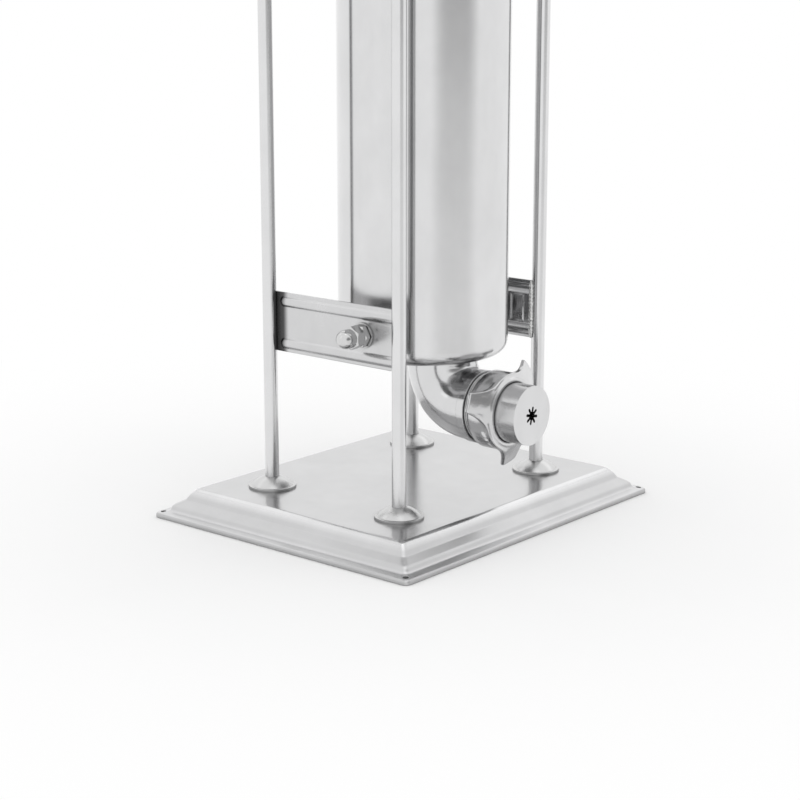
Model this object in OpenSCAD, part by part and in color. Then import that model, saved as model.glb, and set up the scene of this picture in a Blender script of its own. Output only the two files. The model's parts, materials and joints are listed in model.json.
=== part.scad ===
// Upright churro machine with a hand cranked piston. Lengths in millimetres.
// X runs left to right, the nozzle points to -Y, Z is up, z = 0 is the plane it stands on.

/* [Base pan] */
// Width of the base pan, left to right
base_w = 340; // [330:1:350]
// Depth of the base pan, front to back
base_d = 286; // [280:1:296]
// Height of the flat top of the pan
base_h = 24.5; // [23:0.5:28]
// Sheet thickness of the pan
pan_t = 1.5; // [1:0.1:2]
// Run of the stepped slope, from the rim edge to the flat top
pan_slope_w = 27.5; // [25:0.5:30]
// Height of the turned lip at the rim
pan_lip_h = 4; // [3:0.5:5]
// Radius of the rim corners
pan_corner_r = 5; // [3:0.5:8]
// Distance of the fixing holes from both rim edges
fix_inset = 6; // [5.5:0.25:7]
// Radius of the fixing holes
fix_r = 2.5; // [2:0.1:3]

/* [Posts] */
// Half the distance between the left and right posts
post_x = 95; // [94:0.5:97]
// Half the distance between the front and rear posts
post_y = 72; // [70:0.5:74]
// Radius of a post
post_r = 6; // [5.5:0.25:6.5]
// Radius of the threaded post ends
post_end_r = 4; // [3.5:0.25:4.5]
// Length of the threaded end below the pan top
post_foot_len = 12.5; // [11:0.5:14]
// Length of the threaded end above the post shoulder
post_top_len = 16; // [14:0.5:17]
// Height of the post shoulder that carries the head plate
post_top_z = 520; // [518:1:526]
// Radius of the dome flange at a post foot
flange_r = 20.7; // [20:0.1:21.5]
// Height of the dome flange
flange_h = 10; // [9:0.5:11]
// Thickness of the flange at its flat rim
flange_t = 1.9; // [1.5:0.1:2.2]
// Width of the flat rim round the dome
flange_rim_w = 2.6; // [2:0.1:3]

/* [Side rails] */
// Height of the rails' lower edge
rail_z = 145.5; // [144:0.5:147]
// Height of a rail
rail_h = 51; // [50:0.5:52]
// Distance of the rails' inner face from the middle
rail_x = 90; // [89.5:0.25:91]
// Sheet thickness of a rail
rail_t = 2.5; // [2:0.1:2.8]
// Outer radius of the pressed beads
bead_r = 5; // [4.5:0.1:5.5]
// Distance of a bead's axis from the rail's edge
bead_inset = 7.5; // [7:0.25:8.5]
// Distance of the beads' ends from the posts' centres
bead_end = 16.5; // [15:0.5:19]
// Depth of the framed recess on the inner side
recess_depth = 1.2; // [0.8:0.1:1.4]
// Distance of the recess's ends from the posts' centres
recess_end = 12; // [11:0.5:14]
// Half the width of the plain land round the pivot hole, inside
recess_land = 12; // [11:0.5:14]
// Radius of the weld beads at the rail ends
weld_r = 2.2; // [1.8:0.1:2.5]

/* [Cylinder] */
// Outer radius of the cylinder
cyl_r = 73; // [72:0.5:74]
// Wall thickness of the cylinder
cyl_t = 1.5; // [1.2:0.1:2]
// Distance of the cylinder's axis in front of the posts' middle
cyl_front = 19; // [18:0.5:20]
// Height of the cylinder's underside
cyl_z = 142; // [141:0.5:144]
// Length of the cylinder
cyl_len = 330; // [320:1:332]
// Radius of the bottom edge
cyl_edge_r = 12; // [10:0.5:14]
// Radius of the rolled rim
cyl_rim_r = 2.5; // [2:0.1:3]

/* [Pivots] */
// Distance of the pivot axis in front of the posts' middle
pivot_front = 32; // [30:0.5:34]
// Height of the pivot axis
pivot_z = 171.5; // [171:0.5:172]
// Radius of the pivot stud
stud_r = 5; // [4.5:0.25:5]
// Radius of the pad that carries the stud
pad_r = 12; // [11:0.5:13]
// Distance of the pad's face from the middle
pad_x = 82; // [80:0.5:84]

/* [Outlet elbow] */
// Distance of the elbow's upright leg in front of the posts' middle
elbow_front = 41; // [40:0.5:42]
// Outer radius of the elbow
elbow_r = 30; // [29.5:0.25:30.5]
// Bore radius of the elbow
elbow_bore_r = 25; // [24:0.25:25.5]
// Bend radius of the elbow's axis
bend_r = 34; // [33:0.5:35]
// Height of the outlet axis
outlet_z = 102.5; // [102:0.5:103]
// Where the collar behind the thread begins, in front of the middle
collar_front = 80; // [79:0.5:81]
// Where the thread begins, in front of the middle
thread_front = 87; // [86:0.5:88]
// Where the elbow ends, in front of the middle
elbow_end_front = 105; // [104:0.5:106]
// Outer radius of the collar
collar_r = 31.2; // [31:0.1:31.5]
// Outer radius of the threaded end
thread_r = 28.4; // [28:0.1:28.5]

/* [Nozzle and nut] */
// Thickness of the nozzle gasket
gasket_t = 2; // [1.5:0.25:2.5]
// Thickness of the nozzle's flange
nozzle_flange_t = 4; // [3:0.25:4.5]
// Radius of the nozzle's flange
nozzle_flange_r = 28; // [27.5:0.1:28.2]
// Outer radius of the nozzle
nozzle_r = 25.3; // [25:0.1:25.6]
// How far the nozzle's face stands in front of the middle
nozzle_front = 136; // [134:0.5:138]
// Radius of the nozzle's cavity
nozzle_cavity_r = 22; // [20:0.5:22.5]
// Thickness of the nozzle's face
nozzle_face_t = 8; // [6:0.5:9]
// Tip radius of the star hole
star_r = 7.8; // [7:0.1:8.5]
// Width of one ray of the star hole
star_ray_w = 2.4; // [2:0.1:2.8]
// Radius of the core of the star hole
star_core_r = 3.8; // [3.4:0.1:4.2]
// Hub radius of the wing nut
nut_hub_r = 33; // [32.5:0.1:34]
// Tip radius of the wings
nut_tip_r = 49; // [47:0.5:50]
// Where the nut's back face stands, in front of the middle
nut_back_front = 94; // [93:0.5:95]
// Where the nut's lip stands, in front of the middle
nut_lip_front = 116.5; // [115:0.5:118]
// Thickness of a wing at its tip
wing_tip_t = 3.25; // [3:0.25:4.5]
// Thickness of a wing beside the hub
wing_root_t = 5; // [4.5:0.25:6]
// How far the wing tips lean back from the hub's front
wing_sweep = 9; // [8:0.5:10]
// Half the width of a wing at its tip
wing_half_w = 8.8; // [8:0.1:9.6]
// Radius of the hollows beside the wings
wing_hollow_r = 32; // [28:0.5:36]
// How deep the hollows beside the wings reach into the round of the hub
wing_bite = 0.4; // [0.3:0.1:0.6]

/* [Head] */
// Half the width of the head plate
head_half_w = 105; // [104:0.5:106]
// Half the depth of the head plate
head_half_d = 88; // [86:0.5:92]
// Thickness of the head plate
head_t = 4; // [3.5:0.25:4.5]
// Corner radius of the head plate
head_corner_r = 10; // [8:0.5:12]
// Inner distance of the gearbox cheeks from the middle
cheek_x = 52; // [51:0.5:53]
// Thickness of a cheek
cheek_t = 5; // [4.5:0.25:5.5]
// Height of a cheek
cheek_h = 90; // [88:0.5:92]
// Front edge of the cheeks, in front of the middle
cheek_front = 46; // [45:0.5:47]
// Rear edge of the cheeks, behind the middle
cheek_rear = 78; // [76:0.5:79]
// Sheet thickness of the cover
cover_t = 1.5; // [1.2:0.1:1.8]
// Gap from the cheeks' edges to where the cover's corners begin to round
cover_gap = 0.5; // [0.5:0.25:2]
// Height of the cover
cover_h = 102; // [101:0.5:104]
// Corner radius of the cover
cover_corner_r = 4; // [3:0.5:6]

/* [Gear train] */
// Module of all teeth
gear_m = 1.5; // [1.5:0.01:1.5]
// Teeth of the rack pinion and of the wheel pinion
pinion_teeth = 18; // [18:1:18]
// Teeth of the spur wheel
wheel_teeth = 60; // [60:1:60]
// Pressure angle in degrees
pressure_angle = 20; // [20:1:20]
// Play taken off each tooth at the pitch line
tooth_play = 0.1; // [0.08:0.01:0.14]
// Height of the fast shaft above the head plate's top
fast_h = 50; // [49.5:0.25:51]
// Face width of the rack pinion
rack_pinion_w = 17; // [16:0.5:18]
// Face width of the spur wheel
wheel_w = 8; // [7:0.5:9]
// Where the spur wheel begins, right of the middle
wheel_x = 18; // [17.5:0.25:18.5]
// Radius of the wheel's hub
wheel_hub_r = 15; // [14:0.5:16]
// Length of the wheel's hub
wheel_hub_len = 12; // [11:0.5:13]
// Angle from the fast shaft to the slow shaft, below level to the rear
slow_drop = 20; // [18:1:22]
// Radius of the shafts in their bushes
shaft_r = 8; // [7.5:0.25:8]
// Radius of the shafts' middle parts
shaft_mid_r = 9.5; // [9:0.25:10]
// Outer radius of the bushes
bush_r = 11; // [10.5:0.25:11.5]

/* [Rack and piston] */
// Width and depth of the rack
rack_w = 16; // [15.5:0.25:16.5]
// How far the piston travels
travel = 330; // [320:1:330]
// Height of the piston's underside at rest
piston_z = 156; // [155.5:0.25:158]
// Thickness of a piston plate
plate_t = 4; // [3.5:0.25:4.5]
// Thickness of the piston seal
seal_t = 8; // [7:0.5:8]
// Play of the plates in the cylinder
plate_gap = 1; // [0.8:0.1:1.4]
// Radius of the rack's lower spigot
spigot_r = 5; // [4.5:0.25:5]
// How far the rack's top stands above the gearbox cover at rest
rack_proud = 22; // [18:1:28]
// Distance of the vent valve right of the middle
vent_x = 36; // [34:0.5:38]
// Radius of the vent valve's stem
vent_r = 4; // [3.5:0.25:4]
// Radius of the vent valve's head
vent_head_r = 8; // [7.5:0.25:8.5]

/* [Crank] */
// Where the crank's hub begins, right of the middle
crank_x = 92; // [91:0.5:93]
// Length of the crank's hub on the shaft
crank_hub_len = 19; // [18.5:0.25:20]
// Length of the shaft end inside the hub
shaft_end_len = 18; // [17:0.25:18.25]
// Radius of the crank's hub
crank_hub_r = 14; // [13:0.5:14]
// Length of the crank arm between its two axes
crank_len = 130; // [120:1:135]
// Width of the crank arm
crank_w = 22; // [20:0.5:24]
// Thickness of the crank arm
crank_t = 8; // [7:0.5:8]
// Length of the grip
grip_len = 86; // [84:0.5:92]
// Largest radius of the grip
grip_r = 15; // [14:0.5:17]
// Radius of the grip's spindle
spindle_r = 5; // [4.5:0.25:5]

/* [Fasteners] */
// Width across flats of the post nuts
post_nut_af = 13; // [12.5:0.25:13.5]
// Height of the foot nuts
foot_nut_h = 6.5; // [6:0.25:7]
// Outer radius of the post washers
post_washer_r = 8; // [7.75:0.25:8.5]
// Thickness of the post washers
post_washer_t = 1.6; // [1.4:0.1:1.8]
// Height of the six sided part of the post cap nuts
cap_hex_h = 8; // [7:0.5:9]
// Radius of the post cap nuts' domes
cap_dome_r = 6; // [5.5:0.25:6.25]
// Width across flats of the pivot nuts
pivot_nut_af = 17; // [16.5:0.25:18]
// Thickness of the pivot washers
pivot_washer_t = 2; // [1.6:0.1:2.4]
// Outer radius of the pivot washers
pivot_washer_r = 10.5; // [10:0.25:10.75]
// Thickness of the thin pivot nuts
jam_t = 6; // [5:0.5:7]
// Height of the six sided part of the pivot cap nuts
pivot_hex_h = 9; // [8:0.5:10]
// Radius of the pivot cap nuts' domes
pivot_dome_r = 7.75; // [7:0.25:8]
// Length of the necks under the pivot cap nuts' domes
pivot_neck_h = 5.5; // [4.5:0.25:6.5]
// Radius of the small screws' shanks
screw_r = 1.9; // [1.7:0.1:2]
// Radius of the small screws' heads
screw_head_r = 3.5; // [3.25:0.25:4]
// Height of the small screws' heads
screw_head_h = 2.5; // [2:0.25:3]

/* [Piston details] */
// Thickness of the washer under the piston
piston_washer_t = 1.5; // [1.2:0.1:2]
// Width across flats of the piston's nut
piston_nut_af = 16; // [15:0.5:17]
// Height of the six sided part of the piston's nut
piston_nut_h = 5; // [4:0.5:6]
// Thickness of the vent valve's head
vent_head_t = 2.5; // [2:0.25:3]
// Thickness of the cap on the vent valve's stem
vent_cap_t = 2; // [1.5:0.25:2.5]
// Length of the vent spring at rest
vent_spring_h = 9; // [8:0.5:10]
// Radius of the vent spring's wire
coil_wire_r = 0.7; // [0.6:0.05:0.75]
// Distance of the spring wire's middle from the stem
coil_gap = 1.6; // [1.4:0.1:1.8]
// Radius of the rack's stop screw
stop_screw_r = 3; // [2.5:0.25:3.5]
// Length of the stop screw in the rack
stop_screw_len = 10; // [9:0.5:12]
// Radius of the stop screw's head
stop_head_r = 7; // [6.5:0.25:7.5]
// Height of the stop screw's head
stop_head_t = 4; // [3:0.5:5]

/* [Rack guide] */
// Half the width of the guide block
guide_half_w = 13; // [12.5:0.25:13.5]
// Where the guide block's front stands, in front of the posts' middle
guide_front = 38; // [37.5:0.25:39]
// Where the guide block's arms end, in front of the posts' middle
guide_rear = 4; // [3:0.5:6]
// Height of the guide block's arms
guide_h = 32; // [30:0.5:33]
// Height of the guide block's back
guide_back_h = 68; // [66:0.5:70]
// Distance of the guide's screws from the middle
guide_screw_x = 8; // [7.5:0.25:8.5]
// Distance of the guide's screws in front of the posts' middle
guide_screw_front = 33; // [32.5:0.25:33.5]
// Radius of the guide's screws
guide_screw_r = 1.8; // [1.6:0.1:1.9]
// Head radius of the guide's screws
guide_screw_head_r = 3.2; // [3:0.1:3.4]
// Length of the guide's screws
guide_screw_len = 14; // [12:0.5:16]
// Gap round the rack in the cover
slot_gap = 2.5; // [2:0.25:3]
// Gap round the rack in the head plate
plate_slot_gap = 0.6; // [0.5:0.1:0.8]

/* [Cheek and cover screws] */
// Distance of the front cheek screws in front of the posts' middle
cheek_screw_front = 32; // [31:0.5:34]
// Distance of the rear cheek screws behind the posts' middle
cheek_screw_rear = 64; // [62:0.5:66]
// Length of the cheek screws
cheek_screw_len = 16; // [14:0.5:18]
// Height of the front cover screws above the head plate
cover_screw_h = 24; // [22:0.5:26]
// Height of the rear cover screws above the head plate
cover_screw_top = 78; // [76:0.5:80]
// Distance of the rear cover screws behind the posts' middle
cover_screw_y = 62; // [60:0.5:64]
// Distance of the front cover screws in front of the posts' middle
cover_screw_front = 38; // [36:0.5:40]
// Length of the cover screws
cover_screw_reach = 4.5; // [4:0.25:5]
// Gap round the shafts in the cover
shaft_hole_gap = 1; // [0.5:0.25:2]

/* [Shaft details] */
// Thickness of the retaining rings
ring_t = 1.5; // [1.2:0.1:1.7]
// Outer radius of the retaining rings
ring_r = 10.5; // [10.25:0.25:11]
// Inner radius of the retaining rings
ring_inner_r = 7.2; // [7:0.1:7.4]
// Opening of the retaining rings
ring_gap = 4; // [3:0.5:5]
// Width of the rings' grooves
groove_t = 1.8; // [1.75:0.05:2]
// Distance of the flat on a shaft end from the shaft's axis
flat_at = 5.6; // [5.4:0.1:5.8]
// Radius of the shaft ends that the crank fits on
end_r = 7; // [6.75:0.25:7]
// Radius of the wheel's cross pin
wheel_pin_r = 2; // [1.75:0.25:2.25]
// Distance of the cross pin from the wheel's face
wheel_pin_inset = 6; // [5:0.5:7]
// Thickness of the wheel's web
wheel_web_t = 4; // [3:0.5:5]
// Inner radius of the wheel's rim
wheel_rim_r = 38; // [37:0.5:39]
// Radius of the holes in the wheel's web
wheel_hole_r = 7; // [6:0.5:8]
// Distance of those holes from the wheel's axis
wheel_hole_at = 27; // [26:0.5:28]
// How far the wheel pinion is wider than the wheel, each side
pinion_over = 1; // [0.5:0.25:1.5]

/* [Crank details] */
// Radius of the crank's bolt
crank_bolt_r = 3; // [2.5:0.25:3.25]
// Length of the crank's bolt in the shaft
crank_bolt_len = 14; // [12:0.5:16]
// Outer radius of the crank's washer
crank_washer_r = 9; // [8:0.5:10]
// Thickness of the crank's washer
crank_washer_t = 1.5; // [1.2:0.1:2]
// Width across flats of the crank's bolt
crank_bolt_af = 10; // [9:0.5:11]
// Height of the crank bolt's head
crank_bolt_h = 4; // [3.5:0.25:5]
// Gap between the crank arm and the grip
grip_gap = 1.5; // [1:0.25:2]
// Radius of the spindle's collar
spindle_collar_r = 8; // [7:0.5:8.5]
// Radius of the spindle's head
spindle_head_r = 7.5; // [7:0.25:8.5]
// Thickness of the spindle's head
spindle_head_t = 2.5; // [2:0.25:3]

/* [Clearances] */
// Radial play of a shaft that turns or slides in its hole
running = 0.06; // [0.04:0.01:0.09]
// Radial play between pieces of one body
fit = 0.05; // [0.03:0.01:0.08]
// Gap between curved faces of pieces that move apart
free_gap = 0.3; // [0.3:0.05:0.4]
// Radial play of a screw or stud in a plain hole
hole_gap = 0.3; // [0.2:0.05:0.4]
// Gap between flat faces of pieces that turn past each other
side_gap = 0.3; // [0.25:0.05:0.4]
// How far cutting shapes run past the solids
cut = 1; // [1:0.5:1]

/* [Hidden] */
FN = 64;
SOFT_FN = 32;
HEX = 6;
TURN = 360;
QUARTER = 90;
HALF_SHARE = 0.5;
WASHER_SHARE = 1.9;
// Run and rise of the pan's slope, from the rim to the flat top
PAN_SHARES = [[0, 0], [0.31, 0.07], [0.36, 0.26], [0.42, 0.33], [0.67, 0.53], [0.76, 0.74],
    [0.90, 0.94], [1, 1]];
// Angles of the wings from +X towards +Z
WING_ANGLES = [42, 162, 282];
STAR_BARS = 4;
// Turn of the star hole, in degrees
STAR_TURN = 12;
FLANK_STEPS = 5;
TIP_SHARE = 1;
ROOT_SHARE = 1.25;
CHAMFER_SHARE = 0.12;
// Contour of the grip: station along it and radius, as shares of its length and radius
GRIP_SHARES = [[0, 0.62], [0.03, 0.72], [0.10, 0.80], [0.28, 0.93], [0.50, 1], [0.74, 0.94],
    [0.90, 0.80], [0.97, 0.70], [1, 0.60]];
// Contour of the piston seal's edge: height and outward reach
SEAL_SHARES = [[0, 0], [0.2, 1], [0.4, 1], [0.5, 0.4], [0.6, 1], [0.8, 1], [1, 0]];
WHEEL_HOLES = 6;
COIL_TURNS = 4;
COIL_STEPS = 20;
COIL_SIDES = 8;

cyl_y = -cyl_front;
bore_r = cyl_r - cyl_t;
cyl_top = cyl_z + cyl_len;
rail_face = rail_x + rail_t;
pivot_y = -pivot_front;
elbow_y = -elbow_front;
bend_y = elbow_y - bend_r;
bend_z = outlet_z + bend_r;
head_z = post_top_z;
head_top = head_z + head_t;
gasket_front = elbow_end_front + gasket_t;
flange_front = gasket_front + nozzle_flange_t;
cover_x = cheek_x + cheek_t;

pinion_r = gear_m * pinion_teeth / 2;
wheel_r = gear_m * wheel_teeth / 2;
addendum = gear_m * TIP_SHARE;
dedendum = gear_m * ROOT_SHARE;
pitch = gear_m * PI;
rack_face_y = cyl_y + rack_w / 2;
rack_back_y = cyl_y - rack_w / 2;
rack_pitch_y = rack_face_y - addendum;
fast_y = rack_pitch_y + pinion_r;
fast_z = head_top + fast_h;
axis_gap = pinion_r + wheel_r;
slow_y = fast_y + axis_gap * cos(slow_drop);
slow_z = fast_z - axis_gap * sin(slow_drop);
wheel_angle = -slow_drop;
pinion_half = TURN / pinion_teeth / 2;

piston_top = piston_z + plate_t + seal_t + plate_t;
piston_r = bore_r - plate_gap;
seal_r = bore_r - running;
shaft_left_x = cheek_x + cheek_t;
cover_end_gap = cover_corner_r - cover_t + cover_gap;
rack_top_z = head_top + cover_h + rack_proud;
coil_r = vent_r + coil_gap;
arm_x = crank_x + crank_hub_len;
arm_face = arm_x + crank_t;
shaft_end_x = crank_x + shaft_end_len;
grip_y = slow_y - crank_len;
grip_x = arm_face + grip_gap;
grip_end = grip_x + grip_len;

// Placing helpers

// Turns a shape drawn upright so that it runs along +X
module along_x() {
    rotate([0, QUARTER, 0]) children();
}

// Turns a shape drawn upright so that it runs along -Y
module along_front() {
    rotate([QUARTER, 0, 0]) children();
}

// Draws a flat shape of Y and Z and gives it a width along X
module slab_yz(x0, w) {
    translate([x0, 0, 0])
        rotate([QUARTER, 0, QUARTER])
            linear_extrude(height = w) children();
}

// Puts its child at the four posts
module at_posts(z) {
    for (sx = [-1, 1], sy = [-1, 1])
        translate([sx * post_x, sy * post_y, z]) children();
}

// Puts its child at both pivots, pointing outwards
module at_pivots(x) {
    for (side = [0, 1])
        mirror([side, 0, 0])
            translate([x, pivot_y, pivot_z])
                along_x() children();
}

module rounded_plate(x0, x1, y0, y1, r, h) {
    linear_extrude(height = h)
        union() {
            translate([x0 + r, y0]) square([x1 - x0 - 2 * r, y1 - y0]);
            translate([x0, y0 + r]) square([x1 - x0, y1 - y0 - 2 * r]);
            for (x = [x0 + r, x1 - r], y = [y0 + r, y1 - r])
                translate([x, y]) circle(r = r, $fn = FN);
        }
}

// Fastener helpers

module ring(r, hole_r, t) {
    difference() {
        cylinder(r = r, h = t, $fn = FN);
        translate([0, 0, -cut]) cylinder(r = hole_r, h = t + 2 * cut, $fn = FN);
    }
}

// Six sided blank with turned chamfers at one or both ends
module hex_blank(af, h, both) {
    r = af / sqrt(3);
    c = af * CHAMFER_SHARE;
    foot = both ? c / 2 : 0;
    intersection() {
        cylinder(r = r, h = h, $fn = HEX);
        rotate_extrude($fn = FN)
            polygon([[0, 0], [both ? r - c : r, 0], [r, foot], [r, h - c / 2], [r - c, h], [0, h]]);
    }
}

module plain_nut(af, h, hole_r) {
    difference() {
        hex_blank(af, h, true);
        translate([0, 0, -cut]) cylinder(r = hole_r, h = h + 2 * cut, $fn = FN);
    }
}

// Cap nut: a six sided foot and a dome on a short neck
module cap_nut(af, hex_h, dome_r, neck_h, hole_r, hole_h) {
    difference() {
        union() {
            hex_blank(af, hex_h, false);
            cylinder(r = dome_r, h = hex_h + neck_h, $fn = FN);
            translate([0, 0, hex_h + neck_h]) sphere(r = dome_r, $fn = FN);
        }
        translate([0, 0, -cut]) cylinder(r = hole_r, h = hole_h + cut, $fn = FN);
    }
}

// Screw with a round head below z = 0 and its shank above
module head_screw(r, len, head_r, head_h) {
    socket_r = head_r / 2;
    difference() {
        union() {
            translate([0, 0, -head_h]) cylinder(r = head_r, h = head_h, $fn = FN);
            cylinder(r = r, h = len, $fn = FN);
        }
        translate([0, 0, -head_h - cut])
            cylinder(r = socket_r, h = cut + head_h / 2, $fn = HEX);
    }
}

// Base

function pan_edge(half, drop) = [for (s = PAN_SHARES)
    [half - drop - s[0] * pan_slope_w, pan_lip_h + s[1] * (base_h - pan_lip_h) - drop]];

function pan_outline(half, drop) = let (e = pan_edge(half, drop), n = len(e))
    concat([[half - drop, -drop]], e, [for (i = [n - 1:-1:0]) [-e[i][0], e[i][1]]],
        [[drop - half, -drop]]);

// Solid of the pan's outside (drop 0) or of its hollow (drop pan_t)
module pan_block(drop) {
    intersection() {
        rotate([QUARTER, 0, 0])
            linear_extrude(height = base_d, center = true)
                polygon(pan_outline(base_w / 2, drop));
        rotate([QUARTER, 0, QUARTER])
            linear_extrude(height = base_w, center = true)
                polygon(pan_outline(base_d / 2, drop));
    }
}

module base_pan() {
    color("gainsboro")
        difference() {
            intersection() {
                pan_block(0);
                rounded_plate(-base_w / 2, base_w / 2, -base_d / 2, base_d / 2,
                    pan_corner_r, base_h);
            }
            intersection() {
                pan_block(pan_t);
                translate([0, 0, -pan_t])
                    rounded_plate(-base_w / 2 + pan_t, base_w / 2 - pan_t, -base_d / 2 + pan_t,
                        base_d / 2 - pan_t, pan_corner_r - pan_t, base_h);
            }
            at_posts(0) cylinder(r = post_end_r + hole_gap, h = base_h + cut, $fn = FN);
            for (sx = [-1, 1], sy = [-1, 1])
                translate([sx * (base_w / 2 - fix_inset), sy * (base_d / 2 - fix_inset), -cut])
                    cylinder(r = fix_r, h = base_h, $fn = FN);
        }
}

module post(sx, sy) {
    color("lightgray")
        translate([sx * post_x, sy * post_y, 0]) {
            translate([0, 0, base_h]) cylinder(r = post_r, h = post_top_z - base_h, $fn = FN);
            translate([0, 0, base_h - post_foot_len])
                cylinder(r = post_end_r, h = post_top_z + post_top_len - base_h + post_foot_len,
                    $fn = FN);
        }
}

// Spun dome: a thin cap of a sphere on a flat ring
module post_flange(sx, sy) {
    cap_a = flange_r - flange_rim_w;
    cap_h = flange_h - flange_t;
    ball_r = (cap_a * cap_a + cap_h * cap_h) / (2 * cap_h);
    color("silver")
        translate([sx * post_x, sy * post_y, base_h])
            difference() {
                union() {
                    cylinder(r = flange_r, h = flange_t, $fn = FN);
                    translate([0, 0, flange_t])
                        intersection() {
                            translate([0, 0, cap_h - ball_r]) sphere(r = ball_r, $fn = FN);
                            cylinder(r = flange_r, h = cap_h, $fn = FN);
                        }
                }
                intersection() {
                    translate([0, 0, cap_h - ball_r])
                        sphere(r = ball_r - flange_t / 2, $fn = FN);
                    translate([0, 0, -cut]) cylinder(r = cap_a, h = cap_h + cut, $fn = FN);
                }
                translate([0, 0, -cut])
                    cylinder(r = post_r + fit, h = flange_h + 2 * cut, $fn = FN);
            }
}

module foot_washers() {
    color("silver")
        at_posts(base_h - pan_t - post_washer_t)
            ring(post_washer_r, post_end_r + hole_gap, post_washer_t);
}

module foot_nuts() {
    color("silver")
        at_posts(base_h - pan_t - post_washer_t - foot_nut_h)
            plain_nut(post_nut_af, foot_nut_h, post_end_r + fit);
}

// Side rails

// Straight bead with round ends, running front to back
module bead(r, x, z) {
    y0 = post_y - bead_end;
    translate([x, 0, z]) {
        rotate([QUARTER, 0, 0]) cylinder(r = r, h = 2 * y0, center = true, $fn = FN);
        for (s = [-1, 1]) translate([0, s * y0, 0]) sphere(r = r, $fn = FN);
    }
}

module rail(side) {
    groove_r = bead_r - rail_t;
    recess_z = bead_inset + bead_r + recess_depth;
    recess_y = post_y - recess_end;
    recess_ends = [[-recess_y, pivot_y - recess_land], [pivot_y + recess_land, recess_y]];
    color("silver")
        mirror([side, 0, 0])
            difference() {
                union() {
                    translate([rail_x, -post_y, rail_z])
                        cube([rail_t, 2 * post_y, rail_h]);
                    intersection() {
                        union() {
                            bead(bead_r, rail_x, rail_z + bead_inset);
                            bead(bead_r, rail_x, rail_z + rail_h - bead_inset);
                        }
                        translate([rail_x, -post_y, rail_z])
                            cube([2 * bead_r, 2 * post_y, rail_h]);
                    }
                }
                bead(groove_r, rail_x, rail_z + bead_inset);
                bead(groove_r, rail_x, rail_z + rail_h - bead_inset);
                for (e = recess_ends)
                    translate([rail_x - cut, e[0], rail_z + recess_z])
                        cube([cut + recess_depth, e[1] - e[0], rail_h - 2 * recess_z]);
                for (sy = [-1, 1])
                    translate([post_x, sy * post_y, rail_z - cut])
                        cylinder(r = post_r + fit, h = rail_h + 2 * cut, $fn = FN);
                translate([rail_x - cut, pivot_y, pivot_z])
                    along_x() cylinder(r = stud_r + hole_gap, h = rail_t + 2 * cut, $fn = FN);
            }
}

// Fillet welds on the inner side of each rail end
module rail_welds() {
    reach = sqrt(pow(post_r, 2) - pow(post_x - rail_x, 2));
    color("darkgray")
        for (side = [0, 1], sy = [-1, 1])
            mirror([side, 0, 0])
                difference() {
                    translate([rail_x, sy * (post_y - reach), rail_z])
                        cylinder(r = weld_r, h = rail_h, $fn = FN);
                    translate([post_x, sy * post_y, rail_z - cut])
                        cylinder(r = post_r + fit, h = rail_h + 2 * cut, $fn = FN);
                    translate([rail_x, -post_y, rail_z - cut])
                        cube([post_r, 2 * post_y, rail_h + 2 * cut]);
                }
}

// Cylinder, pivots and elbow

// Section of the cylinder's outside (inset 0) or inside (inset cyl_t)
module barrel_section(inset, top) {
    core = cyl_r - cyl_edge_r;
    union() {
        translate([0, cyl_z + cyl_edge_r]) square([cyl_r - inset, top - cyl_z - cyl_edge_r]);
        translate([0, cyl_z + inset]) square([core, cyl_edge_r - inset]);
        intersection() {
            translate([core, cyl_z + cyl_edge_r]) circle(r = cyl_edge_r - inset, $fn = FN);
            translate([core, cyl_z]) square([cyl_edge_r, cyl_edge_r]);
        }
    }
}

module cylinder_barrel() {
    color("whitesmoke")
        difference() {
            translate([0, cyl_y, 0])
                rotate_extrude($fn = FN)
                    difference() {
                        union() {
                            barrel_section(0, cyl_top);
                            translate([bore_r + cyl_rim_r, cyl_top])
                                circle(r = cyl_rim_r, $fn = SOFT_FN);
                        }
                        barrel_section(cyl_t, cyl_top + cyl_rim_r + cut);
                    }
            translate([0, elbow_y, cyl_z - cut])
                cylinder(r = elbow_bore_r, h = cyl_t + 2 * cut, $fn = FN);
        }
}

module pivot_pads() {
    color("silver")
        difference() {
            at_pivots(0) cylinder(r = pad_r, h = pad_x, $fn = FN);
            translate([0, cyl_y, 0]) cylinder(r = cyl_r + fit, h = cyl_top, $fn = FN);
            at_pivots(pad_x - pad_r + cyl_edge_r - stud_r)
                cylinder(r = stud_r + fit, h = pad_r, $fn = FN);
        }
}

pivot_stack = rail_face + pivot_washer_t + jam_t;
stud_root = pad_x - pad_r + cyl_edge_r - stud_r;
stud_len = pivot_stack + pivot_hex_h + fit - stud_root;

module pivot_studs() {
    color("silver") at_pivots(stud_root) cylinder(r = stud_r, h = stud_len, $fn = FN);
}

module pivot_washers() {
    color("silver")
        at_pivots(rail_face) ring(pivot_washer_r, stud_r + hole_gap, pivot_washer_t);
}

module pivot_jam_nuts() {
    color("silver")
        at_pivots(rail_face + pivot_washer_t)
            rotate([0, 0, QUARTER / 3]) plain_nut(pivot_nut_af, jam_t, stud_r + fit);
}

module pivot_cap_nuts() {
    color("silver")
        at_pivots(pivot_stack)
            cap_nut(pivot_nut_af, pivot_hex_h, pivot_dome_r, pivot_neck_h, stud_r + fit,
                pivot_hex_h + hole_gap);
}

module level_bar(r, from, to) {
    translate([0, -from, outlet_z]) along_front() cylinder(r = r, h = to - from, $fn = FN);
}

module level_pipe(r, hole_r, from, to) {
    translate([0, -from, outlet_z])
        along_front()
            difference() {
                cylinder(r = r, h = to - from, $fn = FN);
                translate([0, 0, -cut]) cylinder(r = hole_r, h = to - from + 2 * cut, $fn = FN);
            }
}

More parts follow.
